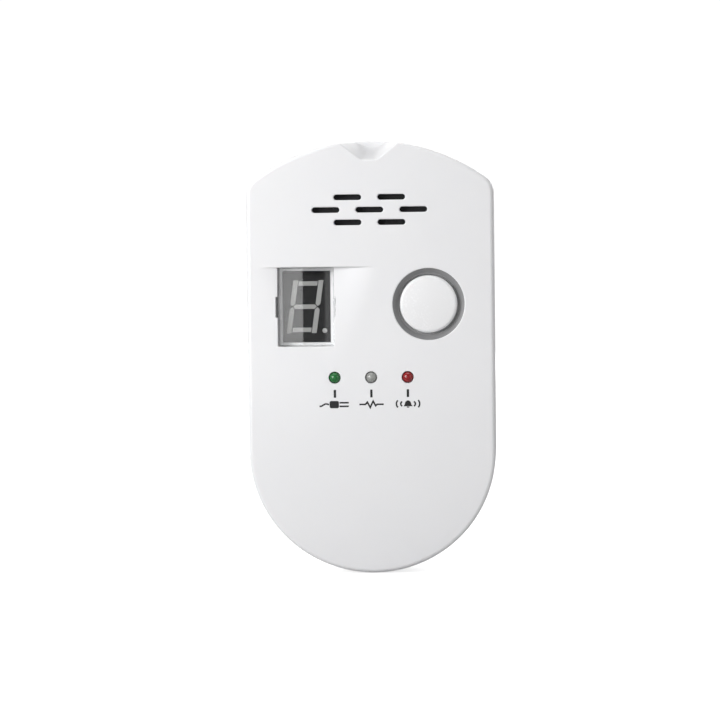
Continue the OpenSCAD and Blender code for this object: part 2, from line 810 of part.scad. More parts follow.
module display_segments() {
  u = (digit_w - segment_w) / 2;
  v = (digit_h - segment_w) / 2;
  bars = [
    [[-u, v], [u, v]], [[-u, 0], [u, 0]], [[-u, -v], [u, -v]],
    [[-u, 0], [-u, v]], [[u, 0], [u, v]], [[-u, -v], [-u, 0]], [[u, -v], [u, 0]]
  ];
  color("gainsboro") {
    for (b = bars)
      y_plate([x_window - 0.4, z_window], segment(b[0], b[1]), y_display - display_gap / 2, y_display);
    y_cyl([x_window + display_w / 2 - 1.5, z_window - v], segment_w / 2,
      y_display - display_gap / 2, y_display, THIN);
  }
}

// Straight pins through the board, from the part that they belong to
module board_pins(spots, y_from) {
  color("silver") for (p = spots) y_cyl(p, pin_wire_r, y_from, y_board_back + pin_tail, THIN);
}

module display_pins() {
  board_pins(display_pin_spots, y_board);
}

module test_button() {
  y_rim = y_front + cap_dome_r - sqrt(pow(cap_dome_r, 2) - pow(button_r - cap_edge_r, 2));
  dome = [for (i = [0:6]) let(r = (button_r - cap_edge_r) * i / 6)
    [r, y_front + cap_dome_r - sqrt(pow(cap_dome_r, 2) - r * r)]];
  edge = [for (i = [1:6]) let(a = 90 * i / 6)
    [button_r - cap_edge_r + cap_edge_r * sin(a), y_rim + cap_edge_r * (1 - cos(a))]];
  y_flange = y_sleeve + flange_gap;
  rest = [
    [button_r, y_flange],
    [flange_r, y_flange],
    [flange_r, y_flange + flange_t],
    [stem_r, y_flange + flange_t],
    [stem_r, y_plunger],
    [0, y_plunger]
  ];
  color("white") y_turned([x_button, z_button], concat(dome, edge, rest));
}

module switch_plunger() {
  color("#222222") y_cyl([x_button, z_button], plunger_r, y_plunger, y_board - switch_h + plunger_root);
}

module switch_body() {
  color("#444444") difference() {
    y_box([x_button, z_button], switch_w, switch_w, y_board - switch_h, y_board);
    y_cyl([x_button, z_button], plunger_r + plunger_gap,
      y_board - switch_h - 1, y_board - switch_h + plunger_root + button_travel + 0.2);
  }
}

// A round light with its dome forward and a flange at its foot
module led(p) {
  y_tip = y_front - led_proud;
  y_foot = y_tip + led_h;
  dome = [for (i = [0:6]) let(a = 15 * i) [led_r * sin(a), y_tip + led_r * (1 - cos(a))]];
  y_turned(p, concat(dome, [
    [led_r, y_foot],
    [led_flange_r, y_foot],
    [led_flange_r, y_foot + led_flange_t],
    [0, y_foot + led_flange_t]
  ]));
}

y_led_foot = y_front - led_proud + led_h + led_flange_t;

module power_led() {
  color("#1f8f3c") led(led_spots[0]);
}

module state_led() {
  color("#c9cbc6") led(led_spots[1]);
}

module alarm_led() {
  color("#b3171c") led(led_spots[2]);
}

module led_leads() {
  board_pins(led_pin_spots, y_led_foot);
}

module led_spacers() {
  color("#e8e8e4") difference() {
    for (p = led_spots) y_cyl(p, spacer_r, y_led_foot, y_board);
    for (p = led_pin_spots) y_cyl(p, pin_wire_r + pin_hole_gap, y_led_foot - 1, y_board + 1, THIN);
  }
}

module grille_cloth() {
  color("#101010") y_box([0, z_grille], grille_pad_w - 1, grille_pad_h - 1, y_grille, y_grille + cloth_t);
}

y_sounder = y_board - sounder_h;
y_disc = y_sounder + sounder_wall + 2;

module sounder_body() {
  color("#18181a") difference() {
    y_cyl(sounder_spot, sounder_r, y_sounder, y_board);
    y_cyl(sounder_spot, sound_hole_r, y_sounder - 1, y_disc);
    y_cyl(sounder_spot, sounder_r - sounder_wall - 1, y_sounder + sounder_wall, y_disc);
    y_cyl(sounder_spot, sounder_r - sounder_wall, y_disc, y_disc + disc_t);
    y_cyl(sounder_spot, sounder_r - sounder_wall - 1, y_disc + disc_t - eps, y_board - 2);
  }
}

module sounder_disc() {
  color("goldenrod") y_cyl(sounder_spot, sounder_r - sounder_wall - 0.05, y_disc, y_disc + disc_t);
}

module sounder_pins() {
  board_pins(sounder_pin_spots, y_board);
}

y_can = y_board - sensor_base_t - can_h;

module sensor_base() {
  color("#b8a878") y_cyl(sensor_spot, sensor_base_r, y_board - sensor_base_t, y_board);
}

module sensor_can() {
  color("silver") difference() {
    y_cyl(sensor_spot, can_r, y_can, y_board - sensor_base_t);
    y_cyl(sensor_spot, can_r - can_wall, y_can + can_wall, y_board);
    y_cyl(sensor_spot, gauze_r, y_can - 1, y_board);
  }
}

module sensor_gauze() {
  color("gray") y_cyl(sensor_spot, can_r - can_wall - 0.05, y_can + can_wall, y_can + can_wall + gauze_t);
}

module sensor_pins() {
  board_pins(sensor_pin_spots, y_board);
}

module main_board() {
  color("#1d6b3a") difference() {
    intersection() {
      outline_prism(wall + board_gap, y_board, y_board_back);
      translate([-body_w, y_board - 1, z_low]) cube([2 * body_w, board_t + 2, z_board_top - z_low]);
    }
    for (p = case_posts) y_cyl(p, case_boss_r + 0.4, y_board - 1, y_board_back + 1);
    for (p = board_posts) y_cyl(p, board_screw_r + shank_gap, y_board - 1, y_board_back + 1);
    for (p = concat(display_pin_spots, led_pin_spots, sounder_pin_spots, sensor_pin_spots))
      y_cyl(p, pin_wire_r + pin_hole_gap, y_board - 1, y_board_back + 1, THIN);
  }
}

transformer_spot = [-transformer_left, z_power];
coil_w = core_w - 2 * core_leg;
coil_margin = 0.6;

// A ring-shaped core: two outer legs and two yokes around the winding, standing on the board
module transformer_core() {
  color("#3a3a3c") difference() {
    y_box(transformer_spot, core_w, core_t, y_board_back, y_board_back + core_h);
    y_box(transformer_spot, coil_w, core_t + 2, y_board_back + coil_margin,
      y_board_back + core_h - core_leg);
  }
}

module transformer_coil() {
  color("gold") y_box(transformer_spot, coil_w - 0.1, coil_len,
    y_board_back + coil_margin, y_board_back + core_h - core_leg);
}

// A round part that lies on the board along Z
module lying_round(x, z, r, len) {
  translate([x, y_board_back + lie_gap + r, z - len / 2]) cylinder(r = r, h = len, $fn = ROUND);
}

module bulk_capacitor() {
  color("#1c2a5a") lying_round(bulk_right, z_power, bulk_r, bulk_len);
}

// A wire that leaves a lying part at height z along dir and turns down to the board
module bent_wire(x, z, r, dir) {
  y_axis = y_board_back + lie_gap + r;
  z_end = z + dir * wire_reach;
  translate([x, y_axis, min(z, z_end)]) cylinder(r = wire_r, h = wire_reach, $fn = THIN);
  y_cyl([x, z_end], wire_r, y_board_back, y_axis, THIN);
  translate([x, y_axis, z_end]) sphere(wire_r, $fn = THIN);
}

module capacitor_wires() {
  color("silver") for (s = [-0.5, 0.5]) {
    bent_wire(bulk_right + s * wire_pitch, z_power + bulk_len / 2, bulk_r, 1);
    bent_wire(output_right + s * wire_pitch, z_output - output_len / 2, output_r, -1);
  }
}

module fuse_wires() {
  color("silver") for (s = [-1, 1]) bent_wire(-fuse_side, -fuse_drop + s * fuse_len / 2, fuse_r, s);
}

module filter_capacitor() {
  color("gold") y_box([0, -filter_drop], filter_w, filter_t, y_board_back, y_board_back + filter_h);
}

module fuse() {
  color("#c9b48a") lying_round(-fuse_side, -fuse_drop, fuse_r, fuse_len);
}

module varistor() {
  color("#2a5fa8") y_cyl([fuse_side, -fuse_drop], varistor_r, y_board_back, y_board_back + varistor_t);
}

module bridge_rectifier() {
  color("#1b1b1d") y_box([-rectifier_left, -rectifier_drop], 4.8, 6.4, y_board_back, y_board_back + 2.5);
}

chip_spot = [0, z_chip];

module controller_chip() {
  color("#1b1b1d") y_box(chip_spot, chip_w, chip_len, y_board_back + 0.1, y_board_back + chip_h);
}

module controller_legs() {
  pitch = 1.27;
  count = floor((chip_len - 1) / pitch);
  color("silver") for (side = [-1, 1], i = [0:count - 1])
    y_box([side * (chip_w + leg_len) / 2, z_chip + (i - (count - 1) / 2) * pitch],
      leg_len, 0.42, y_board_back, y_board_back + 0.9);
}

module output_capacitor() {
  color("#20232a") lying_round(output_right, z_output, output_r, output_len);
}

module regulator() {
  color("#1b1b1d") y_box([-12, z_output], 6.5, 3.5, y_board_back, y_board_back + 1.7);
}

// Rows of small chips beside the controller
module chip_row(x, z, count, w, h, t) {
  for (i = [0:count - 1]) y_box([x, z + i * 3], w, h, y_board_back, y_board_back + t);
}

module resistors() {
  color("#222222") {
    chip_row(-7, z_chip - 5, 4, 3.2, 1.6, 0.6);
    chip_row(7, z_chip - 5, 4, 3.2, 1.6, 0.6);
  }
}

module ceramic_capacitors() {
  color("#b58b5a") {
    chip_row(-13, z_chip - 5, 3, 2, 1.25, 0.9);
    chip_row(13, z_chip - 5, 2, 2, 1.25, 0.9);
  }
}

// A quarter bend of a lead in the YZ plane, from angle a
module lead_elbow(x, y, z, a) {
  translate([x, y, z]) rotate([0, 90, 0]) rotate([0, 0, a])
    rotate_extrude(angle = 90, $fn = ROUND) translate([lead_bend, 0]) circle(lead_r, $fn = THIN);
}

module lead(x) {
  y_foot = y_board_back + lead_foot;
  y_run = y_foot + lead_bend;
  y_cyl([x, 0], lead_r, y_run + lead_bend, y_tail, THIN);
  lead_elbow(x, y_run + lead_bend, -lead_bend, 180);
  translate([x, y_run, lead_bend - lead_drop]) cylinder(r = lead_r, h = lead_drop - 2 * lead_bend, $fn = THIN);
  lead_elbow(x, y_foot, lead_bend - lead_drop, 0);
  y_cyl([x, -lead_drop], lead_r, y_board_back, y_foot, THIN);
}

module live_lead() {
  color("saddlebrown") lead(-pin_pitch / 2);
}

module neutral_lead() {
  color("royalblue") lead(pin_pitch / 2);
}

module lead_sleeves() {
  inner_r = tail_r + shrink_gap;
  color("#202020") for (s = [-1, 1]) difference() {
    y_cyl([s * pin_pitch / 2, 0], inner_r + shrink_t, y_tail - shrink_len / 2, y_tail + shrink_len / 2, THIN);
    y_cyl([s * pin_pitch / 2, 0], inner_r, y_tail - shrink_len, y_tail + shrink_len, THIN);
  }
}

// A plug pin: tip, shank, seat in the end wall, collar and solder tail
module plug_pin(x) {
  tip = [for (i = [0:5]) let(a = 15 * i) [pin_r - pin_tip * (1 - cos(a)), pin_len - pin_tip * (1 - sin(a))]];
  profile = concat(
    [[0, y_tail], [tail_r, y_tail], [tail_r, y_collar], [collar_r, y_collar]],
    [[collar_r, y_end_wall], [pin_seat_r, y_end_wall], [pin_seat_r, 0]],
    [[pin_r, 0]],
    tip,
    [[0, pin_len]]
  );
  color("silver") y_turned([x, 0], profile);
}

module left_plug_pin() {
  plug_pin(-pin_pitch / 2);
}

module right_plug_pin() {
  plug_pin(pin_pitch / 2);
}

module pin_clamp() {
  color("#3b3b3b") difference() {
    y_box([0, 0], clamp_w, clamp_h, y_clamp, y_collar);
    for (s = [-1, 1]) y_cyl([s * pin_pitch / 2, 0], tail_r + clamp_gap, y_clamp - 1, y_collar + 1);
    y_cyl([0, 0], board_screw_r + shank_gap, y_clamp - 1, y_collar + 1);
  }
}

front_cover();
rear_cover();
case_screws();
rating_label();
display_window();
display_frame();
display_body();
display_segments();
display_pins();
test_button();
switch_plunger();
switch_body();
power_led();
state_led();
alarm_led();
led_leads();
led_spacers();
grille_cloth();
sounder_body();
sounder_disc();
sounder_pins();
sensor_base();
sensor_can();
sensor_gauze();
sensor_pins();
main_board();
board_screws();
transformer_core();
transformer_coil();
bulk_capacitor();
capacitor_wires();
filter_capacitor();
fuse();
fuse_wires();
varistor();
bridge_rectifier();
controller_chip();
controller_legs();
output_capacitor();
regulator();
resistors();
ceramic_capacitors();
live_lead();
neutral_lead();
lead_sleeves();
left_plug_pin();
right_plug_pin();
pin_clamp();
clamp_screw();
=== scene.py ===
# Carbon monoxide alarm that hangs on its own mains plug, put together piece by piece.
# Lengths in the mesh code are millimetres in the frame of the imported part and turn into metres
# when a piece is made.
import math

import bpy
import numpy as np
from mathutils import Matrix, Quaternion, Vector
from mathutils.geometry import delaunay_2d_cdt


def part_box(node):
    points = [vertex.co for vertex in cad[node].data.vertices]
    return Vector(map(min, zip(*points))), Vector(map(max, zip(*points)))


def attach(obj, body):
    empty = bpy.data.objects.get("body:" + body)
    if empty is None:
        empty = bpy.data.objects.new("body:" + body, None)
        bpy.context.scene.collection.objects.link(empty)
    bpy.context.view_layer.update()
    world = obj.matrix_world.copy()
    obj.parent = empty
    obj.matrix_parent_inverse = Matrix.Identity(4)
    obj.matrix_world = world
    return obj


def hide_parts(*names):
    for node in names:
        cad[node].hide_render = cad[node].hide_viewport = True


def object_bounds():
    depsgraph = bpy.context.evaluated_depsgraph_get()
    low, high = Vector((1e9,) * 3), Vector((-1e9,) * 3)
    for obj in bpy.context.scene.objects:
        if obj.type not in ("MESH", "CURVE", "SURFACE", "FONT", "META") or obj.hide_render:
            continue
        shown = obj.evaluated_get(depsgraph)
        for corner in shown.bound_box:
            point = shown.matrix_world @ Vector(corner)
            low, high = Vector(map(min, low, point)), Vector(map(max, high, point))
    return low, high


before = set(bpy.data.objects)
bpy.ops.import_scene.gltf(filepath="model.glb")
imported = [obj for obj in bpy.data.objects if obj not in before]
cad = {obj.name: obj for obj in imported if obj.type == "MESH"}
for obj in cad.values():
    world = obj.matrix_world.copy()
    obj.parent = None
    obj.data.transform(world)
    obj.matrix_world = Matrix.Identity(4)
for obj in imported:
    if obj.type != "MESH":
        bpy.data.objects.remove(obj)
cad_low, cad_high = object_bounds()


# --- Studio -------------------------------------------------------------------------------------
# A pale matt table, a soft surround that is dim on the camera's side, a large key light on the left,
# a fill, a top and a rear light, two upright strips by the camera, and the camera a long way off.
def linear(code):
    """The linear colour of an sRGB hex code."""
    parts = [int(code[i:i + 2], 16) / 255 for i in (1, 3, 5)]
    return [c / 12.92 if c <= 0.04045 else ((c + 0.055) / 1.055) ** 2.4 for c in parts] + [1.0]


def node(tree, kind, inputs=None, **settings):
    """Adds a node, sets its settings, and fills or links its inputs."""
    made = tree.nodes.new("ShaderNode" + kind)
    for name, value in settings.items():
        setattr(made, name, value)
    for name, value in (inputs or {}).items():
        if isinstance(value, bpy.types.NodeSocket):
            tree.links.new(value, made.inputs[name])
        else:
            made.inputs[name].default_value = value
    return made


def finish_tree(name):
    """A new material with its node tree, and the output that the shader goes to."""
    made = bpy.data.materials.new(name)
    made.use_nodes = True
    made.node_tree.nodes.clear()
    return made, made.node_tree, made.node_tree.nodes.new("ShaderNodeOutputMaterial")


# White laminate: an even pale matt ground. The camera sees it nearly white, and what it throws
# back on the case is a plain pale grey.
table_z = cad_low.z * 1000 - 0.2
table_matt, tree, out = finish_tree("table, matt white laminate")
place = node(tree, "TexCoord").outputs["Object"]
mottle = node(tree, "TexNoise", {"Vector": place, "Scale": 9.0, "Detail": 3.0})
tone = node(tree, "Mix", {"Factor": mottle.outputs[0], "A": linear("#e4e4e4"), "B": linear("#e9e9e9")},
            data_type="RGBA")
laminate = node(tree, "BsdfPrincipled", {"Base Color": tone.outputs["Result"], "Roughness": 0.75,
                                         "Emission Color": (1, 1, 1, 1), "Emission Strength": 0.75})
bounce = node(tree, "BsdfDiffuse", {"Color": linear("#bcbcbc")})
ray = node(tree, "LightPath")
both = node(tree, "MixShader", {0: ray.outputs["Is Camera Ray"], 1: bounce.outputs[0],
                                2: laminate.outputs[0]})
tree.links.new(both.outputs[0], out.inputs["Surface"])
table_mesh = bpy.data.meshes.new("table")
table_r = 4.0
table_edge = [(table_r * math.cos(a), table_r * math.sin(a), table_z / 1000)
              for a in np.linspace(0, 2 * math.pi, 96, endpoint=False)]
table_mesh.from_pydata(table_edge, [], [tuple(range(96))])
table_mesh.materials.append(table_matt)
table = bpy.data.objects.new("table", table_mesh)
bpy.context.scene.collection.objects.link(table)

# The surround: a near-white backdrop, and a light that fades out towards the camera's side, so
# that glossy pieces facing it stay deep
world = bpy.data.worlds.new("surround")
bpy.context.scene.world = world
world.use_nodes = True
tree = world.node_tree
tree.nodes.clear()
seen = node(tree, "Background", {"Color": (1, 1, 1, 1), "Strength": 1.05})
toward = node(tree, "SeparateXYZ", {"Vector": node(tree, "TexCoord").outputs["Generated"]})
dim = node(tree, "MapRange", {"Value": toward.outputs["Y"], "From Min": -0.97, "From Max": -0.6,
                              "To Min": 0.03, "To Max": 0.42})
lit = node(tree, "Background", {"Color": (1, 1, 1, 1), "Strength": dim.outputs[0]})
ray = node(tree, "LightPath")
both = node(tree, "MixShader", {0: ray.outputs["Is Camera Ray"], 1: lit.outputs[0], 2: seen.outputs[0]})
tree.links.new(both.outputs[0], node(tree, "OutputWorld").inputs["Surface"])


def softbox(name, place, aim, width, height, power, tint="#ffffff"):
    """A flat area light at place, turned to aim, with its size in metres and its power in watts."""
    light = bpy.data.lights.new(name, "AREA")
    light.shape, light.size, light.size_y = "RECTANGLE", width, height
    light.energy, light.color = power, linear(tint)[:3]
    made = bpy.data.objects.new(name, light)
    made.location = place
    made.rotation_euler = (Vector(aim) - Vector(place)).to_track_quat("-Z", "Y").to_euler()
    bpy.context.scene.collection.objects.link(made)
    return made


case_middle = (0, -0.03, 0)
softbox("key", (-0.8, -0.8, 0.27), case_middle, 0.6, 0.8, 10.6)
softbox("fill", (0.9, -0.6, 0.2), case_middle, 0.5, 0.8, 1.2)
softbox("top", (0.0, -0.1, 0.9), case_middle, 0.7, 0.5, 2.1)
# The window mirrors these two as upright bands, and the gap between them as the dark one
softbox("left strip", (-0.245, -1.28, 0.0), case_middle, 0.25, 0.9, 1.4)
softbox("right strip", (0.285, -1.28, 0.0), case_middle, 0.4, 0.9, 0.6)
softbox("rear", (0.2, 1.3, 0.3), (0, 0, 0), 1.0, 0.5, 3.0)

# The camera stands a metre away, a little to the right and a little above, and leans slightly
bpy.context.scene.view_settings.view_transform = "Standard"
camera = bpy.data.cameras.new("camera")
camera.sensor_width, camera.lens = 36.0, 186.8
camera.clip_start, camera.clip_end = 0.05, 20.0
eye = bpy.data.objects.new("camera", camera)
turn, lift, away, lean = math.radians(2.5), math.radians(2.5), 1.0, math.radians(0.65)
aim = Vector((-0.0031, -0.040, -0.0005))
behind = Vector((math.sin(turn) * math.cos(lift), -math.cos(turn) * math.cos(lift), math.sin(lift)))
eye.location = aim + behind * away
eye.rotation_mode = "QUATERNION"
eye.rotation_quaternion = (-behind).to_track_quat("-Z", "Y") @ Quaternion((0, 0, 1), -lean)
bpy.context.scene.collection.objects.link(eye)
bpy.context.scene.camera = eye


# --- Front cover --------------------------------------------------------------------------------
# One injection moulding in glossy white ABS: crowned face, brow and scoop round the display, ramped
# finger notch, sounder slots, button well and light holes, with bosses for the screws behind it.
def in_mm(length):
    """A length of the frame in millimetres, to the micrometre."""
    return round(length * 1000, 3)


def middle(name):
    """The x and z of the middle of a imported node."""
    near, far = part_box(name)
    return in_mm((near.x + far.x) / 2), in_mm((near.z + far.z) / 2)


side, z_low, z_top = in_mm(cad_high.x), in_mm(cad_low.z), in_mm(cad_high.z)
y_front, y_split = [in_mm(end.y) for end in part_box("front_cover")]
wall = 2.0

# The face is crowned from side to side, and falls back below the bend on one large radius
z_bend, crown_r, fall = -2.0, 360.0, 7.4
face_r = ((z_bend - z_low) ** 2 + fall ** 2) / (2 * fall)

# The scoop is a channel that leans back up to the brow; blend is how softly it runs into the face
x_scoop, z_brow, scoop_r, scoop_deep, scoop_long, blend = -16.0, 24.45, 50.0, 2.3, 21.4, 1.0


def face(x, z):
    """How deep the crowned face lies at x, z: upright above the bend, falling back below it."""
    crown = crown_r - np.sqrt(crown_r ** 2 - x ** 2)
    drop = np.minimum(z - z_bend, 0.0)
    bent = face_r - np.sqrt((face_r - crown) ** 2 - drop ** 2)
    return y_front + np.where(z < z_bend, bent, crown)


def scoop(x, z):
    """The leaning round channel under the brow."""
    lean = math.atan(scoop_deep / scoop_long)
    deepest = y_front + scoop_deep - (z_brow - z) * math.tan(lean)
    return deepest - (scoop_r - np.sqrt(scoop_r ** 2 - (x - x_scoop) ** 2)) / math.cos(lean)


def front(x, z, under):
    """The outside of the face. under is true below the brow, where the scoop runs in softly."""
    plain, cut = face(x, z), scoop(x, z)
    gap = np.maximum(blend - np.abs(plain - cut), 0.0) / blend
    return np.where(under, np.maximum(plain, cut) + gap ** 2 * blend / 4, plain)


def slope(surface, x, z, under, way=1):
    """The normal of a surface y = surface(x, z), facing forward, or back when way is -1."""
    d = 0.01
    dx = (surface(x + d, z, under) - surface(x - d, z, under)) / (2 * d)
    dz = (surface(x, z + d, under) - surface(x, z - d, under)) / (2 * d)
    n = np.stack([dx, -np.ones_like(dx), dz], -1) * way
    return n / np.linalg.norm(n, axis=-1, keepdims=True)


def arc(cx, cz, r, a0, a1, n):
    """n + 1 points of an arc, with its angles in degrees."""
    a = np.radians(np.linspace(a0, a1, n + 1))
    return np.stack([cx + r * np.cos(a), cz + r * np.sin(a)], -1)


def corner(a, k, b, n):
    """n points inside the soft corner from a to b that has its sharp corner at k."""
    t = np.linspace(0, 1, n + 2)[1:-1, None]
    return (1 - t) ** 2 * np.array(a) + 2 * t * (1 - t) * np.array(k) + t ** 2 * np.array(b)


# The top of the case is an arc that meets the sides in two shoulders. The notch runs back from the
# face at notch_front, rising, to notch_back.
shoulder_r, top_r = 5.0, 53.0
shoulder_x, top_z = side - shoulder_r, z_top - top_r
shoulder_z = top_z + math.sqrt((top_r - shoulder_r) ** 2 - shoulder_x ** 2)
shoulder_a = math.degrees(math.atan2(shoulder_z - top_z, shoulder_x))
notch_front, notch_back = -45.0, -28.2


def case_outline(inset, y, filled=0.0):
    """The case seen from the front, anticlockwise from the lowest point, at depth y. filled closes
    the finger notch, from 0 for the open ramp to 1 for the plain top arc."""
    t = min(max((y - notch_front) / (notch_back - notch_front), 0.0), 1.0)
    floor_z = 52.8 + 3.8 * t
    foot = np.array([2.1 - 1.05 * t, floor_z])
    head = np.array([10.96 - 0.8 * t, 60.0])
    along = (head - foot) / np.linalg.norm(head - foot)
    out_of = np.array([along[1], -along[0]])
    foot = foot + out_of * inset
    foot = foot + along * ((floor_z - inset) - foot[1]) / along[1]
    r = top_r - inset
    rel = foot - np.array([0, top_z])
    s = -rel @ along + math.sqrt((rel @ along) ** 2 - rel @ rel + r * r)
    edge = foot + along * s
    edge_a = math.degrees(math.atan2(edge[1] - top_z, edge[0]))
    soft, low_soft = 0.5, min(0.8, 0.7 * foot[0])
    start_a = edge_a - math.degrees(soft / r)
    start = np.array([r * math.cos(math.radians(start_a)), top_z + r * math.sin(math.radians(start_a))])
    stop = edge - along * soft
    low_start, low_stop = foot + along * low_soft, foot - np.array([low_soft, 0])
    ramp = [stop + (low_start - stop) * f for f in np.linspace(0, 1, 7)]
    floor = [low_stop + (np.array([0, foot[1]]) - low_stop) * f for f in np.linspace(0, 1, 4)]
    dip = np.concatenate([[start], corner(start, edge, stop, 5), ramp,
                          corner(low_start, foot, low_stop, 5), floor])
    flat = np.stack([dip[:, 0], top_z + np.sqrt(r * r - dip[:, 0] ** 2)], -1)
    dip = dip + (flat - dip) * filled
    half = np.concatenate([
        arc(0, z_low + side, side - inset, -90, 0, 44),
        np.stack([np.full(22, side - inset), np.linspace(z_low + side, shoulder_z, 24)[1:-1]], -1),
        arc(shoulder_x, shoulder_z, shoulder_r - inset, 0, shoulder_a, 12),
        arc(0, top_z, r, shoulder_a, start_a, 22)[1:-1],
        dip,
    ])
    mirror = half[1:-1][::-1] * np.array([-1, 1])
    return np.concatenate([half, mirror])


# The notch starts after the points of the low arc, the side, the shoulder and the top arc
dip_from = 45 + 22 + 13 + 21
around = len(case_outline(0, y_front))


def outward(loop):
    """The unit vectors that point out of an anticlockwise loop of points."""
    d = np.roll(loop, -1, 0) - np.roll(loop, 1, 0)
    n = np.stack([d[:, 1], -d[:, 0]], -1)
    return n / np.maximum(np.linalg.norm(n, axis=1, keepdims=True), 1e-9)


def inside(points, loop):
    """Which of the points lie inside the loop."""
    x, z = points[:, 0][:, None], points[:, 1][:, None]
    x0, z0 = loop[:, 0][None], loop[:, 1][None]
    x1, z1 = np.roll(loop[:, 0], -1)[None], np.roll(loop[:, 1], -1)[None]
    cross = (z0 > z) != (z1 > z)
    at = (x1 - x0) * (z - z0) / np.where(z1 == z0, 1e-9, z1 - z0) + x0
    return (np.sum(cross & (x < at), 1) % 2) == 1


class Moulding:
    """The skin of one moulded piece, as points, faces, and the normal of each face corner."""

    def __init__(self):
        self.points, self.faces, self.normals = [], [], []

    def add(self, points):
        """Adds points and gives back their numbers."""
        first = len(self.points)
        self.points.extend(np.asarray(points, float).tolist())
        return np.arange(first, len(self.points))

    def at(self, ids):
        """Where the numbered points are."""
        return np.array([self.points[i] for i in ids])

    def face(self, ids, normals):
        """Adds a face, turned so that it looks the way its corner normals point."""
        p = self.at(ids)
        n = np.sum(normals, 0)
        area = np.zeros(3)
        for i in range(1, len(p) - 1):
            area += np.cross(p[i] - p[0], p[i + 1] - p[0])
        if area @ n < 0:
            ids, normals = ids[::-1], normals[::-1]
        self.faces.append([int(i) for i in ids])
        self.normals.append([list(v) for v in normals])

    def loft(self, loops, like=None, sharp=(), first=None, last=None, end_like=None):
        """Strips between loops of equally many points. like gives the first loop's normals, which
        also say which side is out; the loops listed in sharp keep a crisp edge."""
        loops = [np.asarray(p, float) for p in loops]
        ids = [first if first is not None and k == 0 else
               last if last is not None and k == len(loops) - 1 else self.add(p)
               for k, p in enumerate(loops)]
        p = np.stack(loops)
        here, there = p[:-1], p[1:]
        nxt = np.roll(p, -1, 1)
        area = np.cross(nxt[1:] - here, there - nxt[:-1]) / 2
        around_area = area + np.roll(area, 1, 1)
        upper, lower = around_area.copy(), around_area.copy()
        for k in range(1, len(loops) - 1):
            if k not in sharp:
                joined = around_area[k - 1] + around_area[k]
                upper[k], lower[k - 1] = joined, joined
        upper /= np.maximum(np.linalg.norm(upper, axis=-1, keepdims=True), 1e-12)
        lower /= np.maximum(np.linalg.norm(lower, axis=-1, keepdims=True), 1e-12)
        if like is not None:
            if np.sum(upper[0] * like) < 0:
                upper, lower = -upper, -lower
            if 0 not in sharp:
                upper[0] = like
        if end_like is not None:
            lower[-1] = end_like
        n = p.shape[1]
        for k in range(len(loops) - 1):
            a, b = ids[k], ids[k + 1]
            for i in range(n):
                j = (i + 1) % n
                quad = [a[i], a[j], b[j], b[i]]
                norm = [upper[k][i], upper[k][j], lower[k][j], lower[k][i]]
                self.face(quad, norm)
        return ids

    def sheet(self, surface, loops, rows=(), step=1.8, way=1, under=None):
        """Fills the space inside the first loop and outside the others with a fine net that follows
        surface(x, z, under). loops and rows hold (point ids, normals), rows being crease lines."""
        under = under or (lambda x, z: np.zeros_like(x, bool))
        ids, edges, normals = [], [], []
        for points, norm in loops:
            first = len(ids)
            ids += list(points)
            normals += list(norm)
            edges += [(first + i, first + (i + 1) % len(points)) for i in range(len(points))]
        for points, norm in rows:
            known = {i: k for k, i in enumerate(ids)}
            spots = []
            for i, v in zip(points, norm):
                if i in known:
                    spots.append(known[i])
                else:
                    spots.append(len(ids))
                    ids.append(i)
                    normals.append(v)
            edges += list(zip(spots[:-1], spots[1:]))
        fixed = self.at(ids)[:, [0, 2]]
        outline = self.at(loops[0][0])[:, [0, 2]]
        low, high = outline.min(0), outline.max(0)
        gx, gz = np.meshgrid(np.arange(low[0] + step / 2, high[0], step),
                             np.arange(low[1] + step / 2, high[1], step))
        gx = gx + (np.arange(gx.shape[0]) % 2)[:, None] * step / 2
        grid = np.stack([gx.ravel(), gz.ravel()], -1)
        keep = inside(grid, outline)
        for points, _ in loops[1:]:
            keep &= ~inside(grid, self.at(points)[:, [0, 2]])
        grid = grid[keep]
        near = np.full(len(grid), 1e9)
        for i in range(0, len(fixed), 400):
            part = fixed[i:i + 400]
            near = np.minimum(near, np.min(np.linalg.norm(grid[:, None] - part[None], axis=2), 1))
        grid = grid[near > step * 0.45]
        below = under(grid[:, 0], grid[:, 1])
        y = surface(grid[:, 0], grid[:, 1], below)
        grid_normals = slope(surface, grid[:, 0], grid[:, 1], below, way)
        ids += list(self.add(np.stack([grid[:, 0], y, grid[:, 1]], -1)))
        normals += list(grid_normals)
        flat = np.concatenate([fixed, grid])
        made = delaunay_2d_cdt([Vector(p) for p in flat.tolist()], edges, [], 0, 1e-7)
        source = [o[0] if o else None for o in made[3]]
        tri = np.array([[source[i] for i in f] for f in made[2]
                        if all(source[i] is not None for i in f)])
        mid = flat[tri].mean(1)
        keep = inside(mid, outline)
        for points, _ in loops[1:]:
            keep &= ~inside(mid, self.at(points)[:, [0, 2]])
        for a, b, c in tri[keep]:
            if len({ids[a], ids[b], ids[c]}) == 3:
                self.face([ids[a], ids[b], ids[c]], [normals[a], normals[b], normals[c]])

    def make(self, name, material, body="case"):
        """Turns the skin into a smooth-shaded object in metres that rides on a body."""
        mesh = bpy.data.meshes.new(name)
        mesh.from_pydata([[c / 1000 for c in p] for p in self.points], [], self.faces)
        mesh.polygons.foreach_set("use_smooth", [True] * len(mesh.polygons))
        mesh.materials.append(material)
        mesh.normals_split_custom_set([n for f in self.normals for n in f])
        made = bpy.data.objects.new(name, mesh)
        bpy.context.scene.collection.objects.link(made)
        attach(made, body)
        return made


def level(loop, y):
    """A flat loop of [x, z] points set at depth y, which may differ from point to point."""
    return np.stack([loop[:, 0], np.broadcast_to(y, len(loop)), loop[:, 1]], -1)


